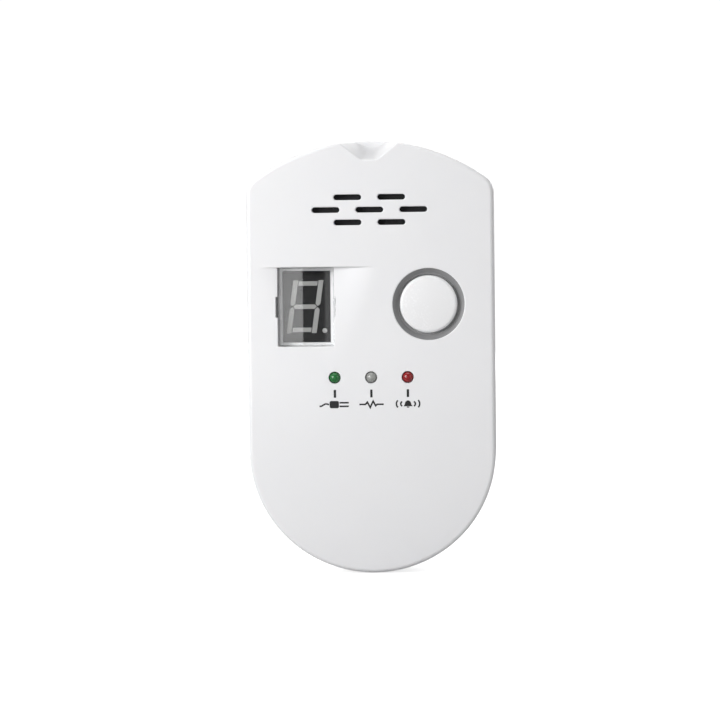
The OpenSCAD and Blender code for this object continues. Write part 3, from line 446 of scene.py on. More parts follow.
def quarter(n):
    """The step across and the step along, as shares of the radius, of a quarter round in n steps."""
    a = np.radians(np.linspace(0, 90, n + 1))[1:]
    return list(zip(1 - np.cos(a), np.sin(a)))


def ring(cx, cz, r, n=64):
    """An anticlockwise circle of points."""
    a = np.linspace(0, 2 * math.pi, n, endpoint=False)
    return np.stack([cx + r * np.cos(a), cz + r * np.sin(a)], -1)


def slot(cx, cz, w, h, grow=0.0):
    """A slot with round ends, grown all round."""
    r, reach = h / 2 + grow, (w - h) / 2
    ends = [arc(reach, 0, r, -90, 90, 10), np.array([[reach * (1 - f), r] for f in (0.5, 1.0, 1.5)]),
            arc(-reach, 0, r, 90, 270, 10), np.array([[-reach * (1 - f), -r] for f in (0.5, 1.0, 1.5)])]
    return np.concatenate(ends) + np.array([cx, cz])


cover = Moulding()
never = np.zeros(around, bool)

# The edge rolls softly from the face into the side wall, tighter along the notch
edge_roll, notch_roll = 1.1, 0.4
rim = case_outline(0, y_front)
roll = np.full(around, edge_roll)
for i in range(around):
    j = min(i, around - i) - (dip_from - 6)
    if j >= 0:
        roll[i] = max(edge_roll - 0.1 * (j + 1), notch_roll)
inner = rim - outward(rim) * roll[:, None]
y_in, y_out = face(inner[:, 0], inner[:, 1]), face(rim[:, 0], rim[:, 1])
face_rim = level(inner, y_in)
face_rim_n = slope(front, inner[:, 0], inner[:, 1], never)
strips = [face_rim]
for t in np.linspace(0, 1, 8)[1:]:
    a, c, b = (1 - t) ** 2, 2 * t * (1 - t) * 0.72, t ** 2
    flat = (a * inner + (c + b) * rim) / (a + b + c)
    strips.append(level(flat, (a * y_in + c * y_out + b * (y_out + roll)) / (a + b + c)))

# The side wall, with the ramp of the notch running back to a thin rim: each row is a share of the
# way to the split, and how far the notch is filled there
y_start, y_stop = y_out + roll, y_split - 0.2
for share, filled in [(0.12, 0), (0.24, 0), (0.36, 0), (0.48, 0), (0.60, 0), (0.72, 0), (0.84, 0),
                      (0.905, 0), (0.916, 0.03), (0.926, 0.14), (0.933, 0.45), (0.937, 0.75),
                      (0.942, 0.92), (0.950, 0.985), (0.958, 1), (1.0, 1)]:
    y = y_start + (y_stop - y_start) * share
    strips.append(level(case_outline(0, float(y[dip_from + 8]), filled), y))
plain = case_outline(0, y_split, 1)
plain_out = outward(plain)
for across, along in quarter(3):
    strips.append(level(plain - plain_out * 0.2 * across, y_stop + 0.2 * along))

# The rim, and the inside of the wall up to the back of the face
z_grille = middle("grille_cloth")[1]
grille_w, grille_h, y_grille = 37.1, 12.2, in_mm(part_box("grille_cloth")[0].y)


def back(x, z, under):
    """The inside of the face, with the raised pad that the cloth is stuck to."""
    off = np.maximum(np.abs(x) - grille_w / 2, np.abs(z - z_grille) - grille_h / 2)
    return np.maximum(front(x, z, under) + wall, y_grille - np.maximum(off, 0.0) * 1.2)


crisp = [len(strips)]
strips.append(level(case_outline(wall, y_split, 1), y_split))
inner_rim = case_outline(wall, -42.0)
y_skin = back(inner_rim[:, 0], inner_rim[:, 1], inner_rim[:, 1] < z_brow)
for share, filled in [(0.074, 1), (0.080, 0), (0.3, 0), (0.55, 0), (0.8, 0)]:
    y = y_split + (y_skin - y_split) * share
    if share < 0.1:
        crisp.append(len(strips))
    strips.append(level(case_outline(wall, float(y[dip_from + 8]), filled), y))
crisp.append(len(strips))
strips.append(level(inner_rim, y_skin))
walls = cover.loft(strips, like=face_rim_n, sharp=crisp)
outer_loops = [(walls[0], face_rim_n)]
inner_loops = [(walls[-1],
                slope(back, inner_rim[:, 0], inner_rim[:, 1], inner_rim[:, 1] < z_brow, -1))]


def pierce(shapes, lip, deep=None, tail=()):
    """A hole from the face to the inside. shapes gives its outline for a growth; the lip is rounded,
    the wall runs straight back, and tail holds further loops before the inside is reached."""
    brim = shapes(lip)
    under = brim[:, 1] < z_brow
    y0 = front(brim[:, 0], brim[:, 1], under)
    brim_n = slope(front, brim[:, 0], brim[:, 1], under)
    loops = [level(brim, y0)]
    a = np.radians(np.linspace(0, 90, 5))[1:]
    for s, c in zip(np.sin(a), np.cos(a)):
        loops.append(level(shapes(lip * (1 - s)), y0 + lip * (1 - c)))
    crisp = []
    for loop in tail:
        crisp.append(len(loops))
        loops.append(loop(y0 + lip))
    last = loops[-1][:, [0, 2]]
    y1 = back(last[:, 0], last[:, 1], last[:, 1] < z_brow)
    loops.append(level(last, y1))
    ids = cover.loft(loops, like=brim_n, sharp=crisp + [len(loops) - 1])
    outer_loops.append((ids[0], brim_n))
    inner_loops.append((ids[-1], slope(back, last[:, 0], last[:, 1], last[:, 1] < z_brow, -1)))


# Seven sounder slots, in rows of two, three and two, and three light holes
slot_w, slot_h, slot_step, row_step = 7.4, 1.5, 11.7, 3.35
slot_spots = [(i * slot_step, z_grille + row * row_step)
              for row in (-1, 0, 1) for i in ((-1, 0, 1) if row == 0 else (-0.5, 0.5))]
for cx, cz in slot_spots:
    pierce(lambda grow, cx=cx, cz=cz: slot(cx, cz, slot_w, slot_h, grow), 0.28)
light_spots = [middle(name) for name in ("power_led", "state_led", "alarm_led")]
light_hole_r = 1.6
for cx, cz in light_spots:
    pierce(lambda grow, cx=cx, cz=cz: ring(cx, cz, light_hole_r + grow, 40), 0.12)

# The button well: a low upright wall, a cone, a ledge, and the bore through the sleeve behind it
x_button, z_button = middle("test_button")
well_r, bore_r, y_bore = 9.6, 8.0, -40.0
well = lambda r: ring(x_button, z_button, r, 120)
pierce(lambda grow: well(well_r + grow), 0.25, tail=[
    lambda y: level(well(9.58), np.maximum(y + 0.02, -43.2)),
    lambda y: level(well(9.46), np.maximum(y + 0.08, -43.06))] + [
    lambda y, r=r, at=at: level(well(r), at) for r, at in
    [(8.42, -41.98), (8.33, -41.93), (8.1, -41.9), (8.03, -41.87), (bore_r, -41.8), (bore_r, y_bore),
     (bore_r + 2.6, y_bore)]])

# The window opening, and the round of its lip
x_win, z_win = middle("display_window")
open_w, open_h, lip = 15.1, 21.1, 0.15
half_w = open_w / 2
left, right = x_win - half_w - lip, x_win + half_w + lip

# The brow: a soft upper edge, an upright underside, and a hollow fillet into the scoop. Its rows of
# points run from where the scoop starts to where it ends, with the window's width in between.
scan = np.linspace(-31.5, 8, 800)
step_at = front(scan, np.full(800, z_brow), True) - front(scan, np.full(800, z_brow), False)
ends = scan[step_at > 1e-3][[0, -1]]
columns = np.concatenate([np.linspace(ends[0], left, 22), np.linspace(left, right, 30)[1:],
                          np.linspace(right, ends[1], 30)[1:]])
at_left, at_right = 21, 50
above, below_it = np.full(len(columns), False), np.full(len(columns), True)
at_brow = np.full(len(columns), z_brow)
deep = front(columns, at_brow, below_it) - front(columns, at_brow, above)
part = np.minimum(deep / 0.9, 1.0)
rows = []
for a in np.radians([0, 22, 45, 68, 90]):
    z = z_brow + (0.012 + 0.38 * part) * (1 - math.sin(a)) + 0.004
    y = front(columns, z, above) + np.minimum(0.38, 0.45 * deep) * (1 - math.cos(a))
    rows.append(np.stack([columns, y, z], -1))
for a in np.radians([0, 30, 60, 90]):
    z = z_brow - 0.012 - (0.008 + 0.3 * part) * (1 - math.cos(a))
    y = front(columns, z, below_it) - np.minimum(0.3, 0.35 * deep) * (1 - math.sin(a))
    rows.append(np.stack([columns, y, z], -1))
rows = np.stack(rows)
row_n = np.cross(np.gradient(rows, axis=0), np.gradient(rows, axis=1))
row_n[0] = slope(front, rows[0, :, 0], rows[0, :, 2], above)
row_n[-1] = slope(front, rows[-1, :, 0], rows[-1, :, 2], below_it)
row_n /= np.linalg.norm(row_n, axis=-1, keepdims=True)
row_n *= np.where(row_n[..., 1] + row_n[..., 2] > 0, -1, 1)[..., None]
row_ids = [cover.add(r) for r in rows[:5]]
row_ids += [np.concatenate([cover.add(r[:at_left + 1]), np.full(at_right - at_left - 1, -1),
                            cover.add(r[at_right:])]) for r in rows[5:]]
creases = [(row_ids[k], row_n[k]) for k in range(5)]
for k in range(5, 9):
    creases.append((row_ids[k][:at_left + 1], row_n[k][:at_left + 1]))
    creases.append((row_ids[k][at_right:], row_n[k][at_right:]))


def window_sides(grow):
    """Left side, foot and right side of the window opening, from the brow down and up again, with
    the notches that the snap tabs go through."""
    half, foot = half_w + grow, z_win - open_h / 2 - grow
    tab_half, r = 2.75 + grow, 0.35 + grow
    tab_low, tab_high, tab_x = z_win - tab_half, z_win + tab_half, half + 0.5
    tab = np.array([[half, tab_low - 0.1], [half + 0.08, tab_low], [tab_x - 0.08, tab_low],
                    [tab_x, tab_low + 0.08], [tab_x, z_win], [tab_x, tab_high - 0.08],
                    [tab_x - 0.08, tab_high], [half + 0.08, tab_high], [half, tab_high + 0.1]])
    below_tab = np.linspace(foot + r, tab_low - 0.1, 7)[1:-1]
    above_tab = np.linspace(tab_high + 0.1, rows[8, 0, 2] - 0.9, 6)[1:]
    upward = np.concatenate([np.stack([np.linspace(0, half - r, 8)[:-1], np.full(7, foot)], -1),
                             arc(half - r, foot + r, r, -90, 0, 6),
                             np.stack([np.full(5, half), below_tab], -1), tab,
                             np.stack([np.full(5, half), above_tab], -1)])
    both = np.concatenate([upward[1:][::-1] * np.array([-1, 1]), upward])
    return both + np.array([x_win, 0])


sides = window_sides(lip)
under = np.ones(len(sides), bool)
side_ids = cover.add(level(sides, front(sides[:, 0], sides[:, 1], under)))
side_n = slope(front, sides[:, 0], sides[:, 1], under)
climb = [8, 7, 6, 5]  # the brow's rows, from the scoop up to its underside


def round_window(sides_part, rows_part):
    """What belongs to each point round the opening: up the right side, along the brow and down."""
    return np.concatenate([sides_part, [rows_part[k][at_right] for k in climb],
                           rows_part[4][at_left:at_right + 1][::-1],
                           [rows_part[k][at_left] for k in climb[::-1]]])


window_ids, window_n = round_window(side_ids, row_ids), round_window(side_n, row_n)
brink = cover.at(window_ids)
throat = brink.copy()
straight = window_sides(0)
throat[:len(straight), 0], throat[:len(straight), 2] = straight[:, 0], straight[:, 1]
along_brow = slice(len(straight), len(brink))
throat[along_brow, 0] = x_win + (brink[along_brow, 0] - x_win) * half_w / (half_w + lip)
loops = [brink]
for a in np.radians([22, 45, 68, 90]):
    turn_in = brink + (throat - brink) * math.sin(a)
    turn_in[:, 1] = brink[:, 1] + lip * (1 - math.cos(a))
    loops.append(turn_in)

# The throat ends at the seat for the window's flange, which lies on a pad behind the face
y_seat, pad_w, pad_up, pad_down = -39.7, 19.9, 11.35, 12.95
ledge = throat.copy()
ledge[:, 1] = y_seat
pad = ledge.copy()
pad[:, 0] = x_win + (ledge[:, 0] - x_win) * pad_w / open_w
rise = ledge[:, 2] - z_win
pad[:, 2] = z_win + np.where(rise > 0, rise * pad_up / (open_h / 2), rise * pad_down / (open_h / 2))
pad_low = pad.copy()
pad_low[:, 1] = np.minimum(back(pad[:, 0], pad[:, 2], pad[:, 2] < z_brow), y_seat - 0.05)
loops += [ledge, pad, pad_low]
ids = cover.loft(loops, like=window_n, sharp=[5, 6, 7], first=window_ids)
outer_loops.append((window_ids, window_n))
inner_loops.append((ids[-1], slope(back, pad[:, 0], pad[:, 2], pad[:, 2] < z_brow, -1)))

# Bosses for the case screws and for the board screws, with the holes that the screws cut into
case_posts = [(24, 36), (-24, 36), (21.5, -35), (-21.5, -35)]
board_posts = [(26.5, 28), (-26.5, 28), (24, -20), (-24, -20)]
for posts, r, hole, y_open, y_blind in [(case_posts, 3.2, 1.47, -27, -36), (board_posts, 2.6, 1.22, -30.5, -36.9)]:
    for cx, cz in posts:
        foot = ring(cx, cz, r, 32)
        under = foot[:, 1] < z_brow
        loops = [level(foot, back(foot[:, 0], foot[:, 1], under))]
        loops += [level(ring(cx, cz, at_r, 32), at_y) for at_r, at_y in
                  [(r, y_open - 0.2), (r - 0.06, y_open - 0.06), (r - 0.2, y_open), (hole + 0.2, y_open),
                   (hole, y_open - 0.2), (hole, y_blind)]]
        ids = cover.loft(loops, like=np.insert(outward(foot), 1, 0, axis=1), sharp=[0])
        inner_loops.append((ids[0], slope(back, foot[:, 0], foot[:, 1], under, -1)))
        cover.face(list(ids[-1]), [[0, 1, 0]] * 32)

cover.sheet(front, outer_loops, creases, 1.7, 1, lambda x, z: z < z_brow)
cover.sheet(back, inner_loops, (), 2.2, -1, lambda x, z: z < z_brow)


def moulded(name, dark, light, rough, grit, bump=0.25, soft=0.0):
    """A moulded plastic: clouded colour between dark and light, a gloss that varies with handling
    and with the grit of the mould, grit being its width in mm, and soft for light that goes in."""
    made, tree, out = finish_tree(name)
    place = node(tree, "TexCoord").outputs["Object"]
    cloud = node(tree, "TexNoise", {"Vector": place, "Scale": 45.0, "Detail": 2.0})
    hand = node(tree, "TexNoise", {"Vector": place, "Scale": 130.0, "Detail": 5.0, "Roughness": 0.65,
                                   "Distortion": 0.4})
    speck = node(tree, "TexNoise", {"Vector": place, "Scale": 1000 / grit, "Detail": 2.0, "Roughness": 0.6})
    tone = node(tree, "Mix", {"Factor": cloud.outputs[0], "A": linear(dark), "B": linear(light)},
                data_type="RGBA")
    touch = node(tree, "Math", {0: speck.outputs[0], 1: hand.outputs[0]}, operation="ADD")
    gloss = node(tree, "MapRange", {"Value": touch.outputs[0], "From Min": 0.7, "From Max": 1.3,
                                    "To Min": rough * 0.85, "To Max": rough * 1.2})
    depth = grit / 1000 / 25
    relief = node(tree, "Bump", {"Height": speck.outputs[0], "Strength": bump, "Distance": depth})
    plastic = node(tree, "BsdfPrincipled", {"Base Color": tone.outputs["Result"], "Roughness": gloss.outputs[0],
                                            "Normal": relief.outputs[0], "IOR": 1.53, "Subsurface Weight": soft,
                                            "Subsurface Radius": (1.0, 0.9, 0.8), "Subsurface Scale": 0.0012})
    tree.links.new(plastic.outputs[0], out.inputs["Surface"])
    return made


# White ABS from a fine spark-eroded mould: soft gloss, a grit of 0.35 mm just felt under the nail
abs_white = moulded("ABS, white, fine spark texture", "#eeeef0", "#f2f2f3", 0.36, 0.35, 0.2, 0.06)
front_piece = cover.make("front_cover_moulding", abs_white)

# The slope of the well takes a second finish, a soft satin grey with a dry grain, which sets the button off.
# The grey is partly a grey ring and partly painted shade, darkening the well as a deep recess would.
well_grey_and_painted_shade = moulded("grey well ring, partly painted shade", "#838384", "#909091", 0.5, 0.25, 0.3)
front_piece.data.materials.append(well_grey_and_painted_shade)
# The faces on the slope of the well take the grey: a grey ring with painted shade in it
for patch in front_piece.data.polygons:
    spot = patch.center * 1000
    reach = math.hypot(spot.x - x_button, spot.z - z_button)
    if bore_r + 0.02 < reach < well_r and -43.3 < spot.y < -41.8:
        patch.material_index = 1
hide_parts("front_cover")


# --- Printed marks ------------------------------------------------------------------------------
# Three short ticks under the lights and a small sign below each: a plug, a pulse and a bell. Black
# pad-printed ink, a hair thick, laid on the falling face.
def band(points, width):
    """The outline of a drawn line of the given width, with mitred corners."""
    p = np.array(points, float)
    way = np.diff(p, axis=0)
    way /= np.linalg.norm(way, axis=1, keepdims=True)
    side_of = np.stack([-way[:, 1], way[:, 0]], -1)
    first, second = np.concatenate([side_of[:1], side_of]), np.concatenate([side_of, side_of[-1:]])
    mitre = first + second
    mitre /= np.linalg.norm(mitre, axis=1, keepdims=True)
    off = mitre * width / 2 / np.maximum(np.sum(mitre * first, 1, keepdims=True), 0.45)
    return np.concatenate([p + off, (p - off)[::-1]])


ink = Moulding()
ink_thick, ink_bite = 0.02, 0.03


def ink_on(loop):
    """Lays one closed patch of ink on the face, with its foot a hair inside the plastic."""
    x, z = loop[:, 0], loop[:, 1]
    if np.sum(x * np.roll(z, -1) - np.roll(x, -1) * z) < 0:
        loop = loop[::-1]
    under = loop[:, 1] < z_brow
    y = front(loop[:, 0], loop[:, 1], under)
    top, foot = level(loop, y - ink_thick), level(loop, y + ink_bite)
    flat = slope(front, loop[:, 0], loop[:, 1], under)
    ids = ink.loft([top, foot], like=np.insert(outward(loop), 1, 0, axis=1), sharp=[0, 1])
    ink.sheet(lambda x, z, u: front(x, z, u) - ink_thick, [(ids[0], flat)], (), 0.7, 1,
              lambda x, z: z < z_brow)
    ink.sheet(lambda x, z, u: front(x, z, u) + ink_bite, [(ids[1], -flat)], (), 0.7, -1,
              lambda x, z: z < z_brow)


def rect(cx, cz, w, h, r=0.1, n=3):
    """A box outline with round corners."""
    x, z = w / 2 - r, h / 2 - r
    return np.concatenate([arc(cx + x, cz - z, r, -90, 0, n), arc(cx + x, cz + z, r, 0, 90, n),
                           arc(cx - x, cz + z, r, 90, 180, n), arc(cx - x, cz - z, r, 180, 270, n)])


z_tick, tick_w, tick_h = -9.3, 0.62, 2.1
for cx, _ in light_spots:
    ink_on(rect(cx, z_tick, tick_w, tick_h, 0.1))
z_sign, pen = -12.2, 0.42

# A plug with two pins and a wavy lead, for the power light
ink_on(rect(-9.95, z_sign, 2.5, 1.95, 0.45, 5))
for dz in (-0.48, 0.48):
    ink_on(rect(-7.3, z_sign + dz, 2.5, 0.42, 0.12))
ink_on(band([(-13.9, z_sign - 0.45), (-13.4, z_sign - 0.42), (-12.8, z_sign - 0.05), (-12.3, z_sign + 0.2),
             (-11.9, z_sign + 0.16), (-11.35, z_sign)], pen))

# A pulse, for the state light
ink_on(band([(-3.25, z_sign), (-1.6, z_sign), (-1.1, z_sign + 0.6), (-0.35, z_sign - 0.85), (0.45, z_sign + 0.85),
             (1.1, z_sign - 0.4), (1.5, z_sign), (3.25, z_sign)], pen))

# A bell with two rings of sound on each side, for the alarm light
x_bell = light_spots[2][0]
bell = np.array([(1.2, -0.6), (1.05, -0.34), (0.86, -0.1), (0.8, 0.3), (0.6, 0.68), (0.3, 0.9), (0.0, 0.98)])
bell = np.concatenate([bell, bell[:-1][::-1] * [-1, 1]]) + [x_bell, z_sign]
ink_on(bell)
ink_on(rect(x_bell, z_sign - 0.82, 0.7, 0.28, 0.1))
for way in (-1, 1):
    for reach, tall in ((1.95, 0.62), (3.1, 0.95)):
        ink_on(band([(x_bell + way * (reach + 0.55 * (math.cos(a) - 1)), z_sign + 0.05 + tall * math.sin(a))
                     for a in np.linspace(-1.3, 1.3, 9)], 0.4))

# Pad-printing ink: satin near-black, with the fine dry grain of the pad
ink_black = moulded("pad-printing ink, black, satin", "#141416", "#1c1c1f", 0.5, 0.12, 0.3)
marks = ink.make("printed_marks", ink_black)


# --- Test button --------------------------------------------------------------------------------
# One turned white ABS cap with a low dome, a rounded edge, a flange that keeps it behind the bore
# and a stem that meets the switch. It slides in the bore of the well.
def turned(piece, cx, cz, profile, sharp=(), n=64):
    """Turns a profile of (radius, depth) points about an axis along Y at cx, cz, and closes it."""
    loops = [level(ring(cx, cz, max(r, 0.012), n), y) for r, y in profile]
    pointed = profile[0][0] < 0.02
    like = np.insert(outward(ring(cx, cz, 1, n)), 1, 0, axis=1)
    if pointed:
        like = np.tile([0.0, -1.0, 0.0], (n, 1))
    ids = piece.loft(loops, like=like, sharp=list(sharp) if pointed else [0] + list(sharp))
    ahead = -1.0 if profile[0][1] < profile[-1][1] else 1.0
    piece.face(list(ids[0]), [[0, ahead, 0]] * n)
    piece.face(list(ids[-1]), [[0, -ahead, 0]] * n)


def rounded(profile, sizes, steps=3):
    """A profile with soft corners: sizes gives how far each inner point is cut back, 0 for none."""
    points = [np.array(q, float) for q in profile]
    made = [points[0]]
    for i in range(1, len(points) - 1):
        r = sizes[i - 1]
        if r == 0:
            made.append(points[i])
            continue
        back_way, on_way = points[i - 1] - points[i], points[i + 1] - points[i]
        back_way, on_way = back_way / np.linalg.norm(back_way), on_way / np.linalg.norm(on_way)
        a, b = points[i] + back_way * r, points[i] + on_way * r
        made += [a] + list(corner(a, points[i], b, steps)) + [b]
    made.append(points[-1])
    return [tuple(q) for q in made]


cap_r, dome_r, edge_r = 7.7, 60.0, 1.0
flange_r, y_flange, y_flange_back, stem_r = 9.3, -39.9, -38.9, 2.2
y_stem = in_mm(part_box("test_button")[1].y)
y_rim = y_front + dome_r - math.sqrt(dome_r ** 2 - (cap_r - edge_r) ** 2)
cap = [(r, y_front + dome_r - math.sqrt(dome_r ** 2 - r * r)) for r in np.linspace(0.012, cap_r - edge_r, 9)]
cap += [(cap_r - edge_r + edge_r * math.sin(a), y_rim + edge_r * (1 - math.cos(a)))
        for a in np.radians(np.arange(10, 91, 10))]
behind_cap = rounded([(cap_r, y_rim + edge_r), (cap_r, y_flange), (flange_r, y_flange),
                      (flange_r, y_flange_back), (stem_r, y_flange_back), (stem_r, y_stem), (0.012, y_stem)],
                     [0, 0.15, 0.15, 0, 0.2], 2)
button = Moulding()
turned(button, x_button, z_button, cap + behind_cap[1:], n=96, sharp=[len(cap), len(cap) + 8])

# White ABS from a polished mould: glossier and a shade whiter than the case round it
abs_button = moulded("ABS, white, polished mould", "#efeff0", "#f3f3f4", 0.24, 0.5, 0.12, 0.06)
button_piece = button.make("test_button_cap", abs_button, "button")
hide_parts("test_button")


# --- Display window -----------------------------------------------------------------------------
# A clear polycarbonate insert, pressed in from behind up to its flange, with a snap tab on each
# side. It is slightly bowed from side to side, so it mirrors a tall lamp as an upright band.
def boxed(piece, cx, cz, w, h, levels, r=0.3, n=4):
    """A body with a box outline. levels gives (grow, depth, sharp) from one end to the other, and
    both ends are closed."""
    shapes = [level(rect(cx, cz, w + 2 * g, h + 2 * g, max(r + g, 0.05), n), y) for g, y, _ in levels]
    out_n = np.insert(outward(rect(cx, cz, w, h, r, n)), 1, 0, axis=1)
    crisp = [0] + [k for k, q in enumerate(levels) if q[2]] + [len(levels) - 1]
    ids = piece.loft(shapes, like=out_n, sharp=crisp)
    ahead = -1.0 if levels[0][1] < levels[-1][1] else 1.0
    piece.face(list(ids[0]), [[0, ahead, 0]] * len(shapes[0]))
    piece.face(list(ids[-1]), [[0, -ahead, 0]] * len(shapes[0]))


lens = Moulding()
fit_gap, lens_curve, y_lens, lens_thick, lens_edge = 0.12, 75.0, -41.48, 2.4, 0.2
lens_w, lens_h = open_w - 2 * fit_gap, open_h - 2 * fit_gap
lens_face = lambda x, z, u: y_lens + (x - x_win) ** 2 / (2 * lens_curve)
lens_back = lambda x, z, u: lens_face(x, z, u) + lens_thick

# The outline of the flat of the lens, with points along its straight sides too, so that they bow
outline = rect(x_win, z_win, lens_w - 2 * lens_edge, lens_h - 2 * lens_edge, 0.2, 4)
fine = []
for here, there in zip(outline, np.roll(outline, -1, 0)):
    stops = np.linspace(0, 1, 13)[:-1] if np.linalg.norm(there - here) > 2 else [0]
    fine += [here + (there - here) * stop for stop in stops]
fine = np.array(fine)
grow_out = outward(fine)
front_y = lens_face(fine[:, 0], fine[:, 1], None)
flat_n = slope(lens_face, fine[:, 0], fine[:, 1], None)
loops = [level(fine, front_y)]
for a in np.radians([30, 60, 90]):
    loops.append(level(fine + grow_out * lens_edge * math.sin(a), front_y + lens_edge * (1 - math.cos(a))))
loops += [level(fine + grow_out * by, y) for by, y in
          [(lens_edge, -39.72), (1.55, -39.7), (1.65, -39.6), (1.65, -38.8), (1.55, -38.7), (0.1, -38.7)]]
loops.append(level(fine, lens_back(fine[:, 0], fine[:, 1], None)))
ids = lens.loft(loops, like=flat_n, sharp=[4, 8, 9, 10])
lens.sheet(lens_face, [(ids[0], flat_n)], (), 1.6, 1)
lens.sheet(lens_back, [(ids[-1], slope(lens_back, fine[:, 0], fine[:, 1], None, -1))], (), 1.6, -1)
for way in (-1, 1):
    boxed(lens, x_win + way * (lens_w / 2 + 0.15), z_win, 0.5, 4.5,
          [(-0.08, -40.9, 0), (0, -40.8, 0), (0, -39.75, 0)], 0.12)

# Polished polycarbonate: clear and sharply glossy, with a faint moulded ripple and a rubbed haze.
# Light on its way to the display passes straight through.
polycarbonate, tree, out = finish_tree("polycarbonate, clear, polished")
place = node(tree, "TexCoord").outputs["Object"]
haze = node(tree, "TexNoise", {"Vector": place, "Scale": 300.0, "Detail": 3.0})
rub = node(tree, "MapRange", {"Value": haze.outputs[0], "From Min": 0.35, "From Max": 0.75,
                              "To Min": 0.01, "To Max": 0.05})
wave = node(tree, "Bump", {"Height": haze.outputs[0], "Strength": 0.03, "Distance": 0.00002})
tint = node(tree, "Mix", {"Factor": haze.outputs[0], "A": linear("#f9fafa"), "B": linear("#fdfdfd")},
            data_type="RGBA")
clear = node(tree, "BsdfPrincipled", {"Base Color": tint.outputs["Result"], "Roughness": rub.outputs[0],
                                      "Normal": wave.outputs[0], "IOR": 1.585, "Transmission Weight": 1.0})
through = node(tree, "BsdfTransparent", {"Color": linear("#f6f6f6")})
shadow = node(tree, "LightPath").outputs["Is Shadow Ray"]
pane = node(tree, "MixShader", {0: shadow, 1: clear.outputs[0], 2: through.outputs[0]})
tree.links.new(pane.outputs[0], out.inputs["Surface"])
lens_piece = lens.make("display_lens", polycarbonate)
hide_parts("display_window")


# --- Display ------------------------------------------------------------------------------------
# A seven-segment block behind the window: a black-faced housing with milky resin bars cast into
# its light wells, in a white frame that blanks off the inside of the case.
display = Moulding()
y_display = in_mm(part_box("display_body")[0].y)
boxed(display, x_win, z_win, 12.6, 19.0,
      [(-0.25, y_display, 1), (-0.25, y_display + 0.04, 0), (-0.05, y_display + 0.1, 0),
       (0, y_display + 0.3, 0), (0, -31.0, 0), (-0.3, -30.9, 0), (-0.3, -30.5, 0)], 0.3)

# Screen ink on the face of the block: a deep, even, glossy black
display_ink = moulded("display face, black silk-screen ink", "#08080a", "#0e0e10", 0.07, 0.15, 0.1)
display_piece = display.make("display_block", display_ink)
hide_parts("display_body")

# Seven bars in a digit 8 mm wide and 14.2 mm high that leans by 8 degrees: tall ones that run to its
# full height, flat ones between them, and a pointed one across the middle
bars = Moulding()
lean_x = lambda q: [q[0] + q[1] * math.tan(math.radians(8)), q[1]]
bar_out, bar_top, bar_w, bar_gap = 4.0, 7.1, 1.3, 0.13
bar_in, bar_r, flat_half = bar_out - bar_w, bar_w / 2, bar_out - bar_w - 0.2
tall_bar = [(bar_in, bar_r + bar_gap), (bar_in + bar_r, bar_gap), (bar_out, bar_r + bar_gap),
            (bar_out, bar_top), (bar_in, bar_top)]
flat_bar = [(-flat_half, bar_top - 1.5), (flat_half, bar_top - 1.5), (flat_half, bar_top - 0.3),
            (-flat_half, bar_top - 0.3)]
mid_bar = [(-3.15, 0), (-2.55, -0.6), (2.55, -0.6), (3.15, 0), (2.55, 0.6), (-2.55, 0.6)]
y_bars, bar_bevel = y_display - 0.095, 0.06


def drawn_in(loop, by):
    """An anticlockwise loop moved in by a distance, its corners mitred."""
    p = np.array(loop, float)
    way = np.roll(p, -1, 0) - p
    way /= np.linalg.norm(way, axis=1)[:, None]
    after = np.stack([-way[:, 1], way[:, 0]], -1)
    before = np.roll(after, 1, 0)
    return p + by * (before + after) / (1 + (before * after).sum(1))[:, None]


for shape, across, up_down in [(mid_bar, 1, 1), (flat_bar, 1, 1), (flat_bar, 1, -1),
                               (tall_bar, 1, 1), (tall_bar, -1, 1), (tall_bar, 1, -1), (tall_bar, -1, -1)]:
    loop = [(u * across, v * up_down) for u, v in shape][::across * up_down]
    foot, top = [np.array([lean_x(q) for q in drawn_in(loop, by)]) + [x_win - 0.4, z_win]
                 for by in (0, bar_bevel)]
    ids = bars.loft([level(top, y_bars), level(foot, y_bars + 0.055), level(foot, y_display)],
                    like=np.tile([0.0, -1.0, 0.0], (len(loop), 1)), sharp=[1, 2])
    bars.face(list(ids[0]), [[0, -1, 0]] * len(loop))
    bars.face(list(ids[-1]), [[0, 1, 0]] * len(loop))
turned(bars, x_win + 4.8, z_win - bar_top + bar_r,
       [(0.012, y_bars), (0.58, y_bars), (bar_r, y_bars + 0.055), (bar_r, y_display)], n=24)

# Milky epoxy: unlit it is a soft even grey that takes in a little light
segment_resin = moulded("epoxy, milky, cast in the light wells", "#999997", "#ababa8", 0.42, 0.3, 0.35, 0.15)
bars_piece = bars.make("display_bars", segment_resin)
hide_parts("display_segments")


def wear(name, material):
    """Gives a carried-over part its finish."""
    cad[name].data.materials.clear()
    cad[name].data.materials.append(material)


wear("display_frame", abs_white)
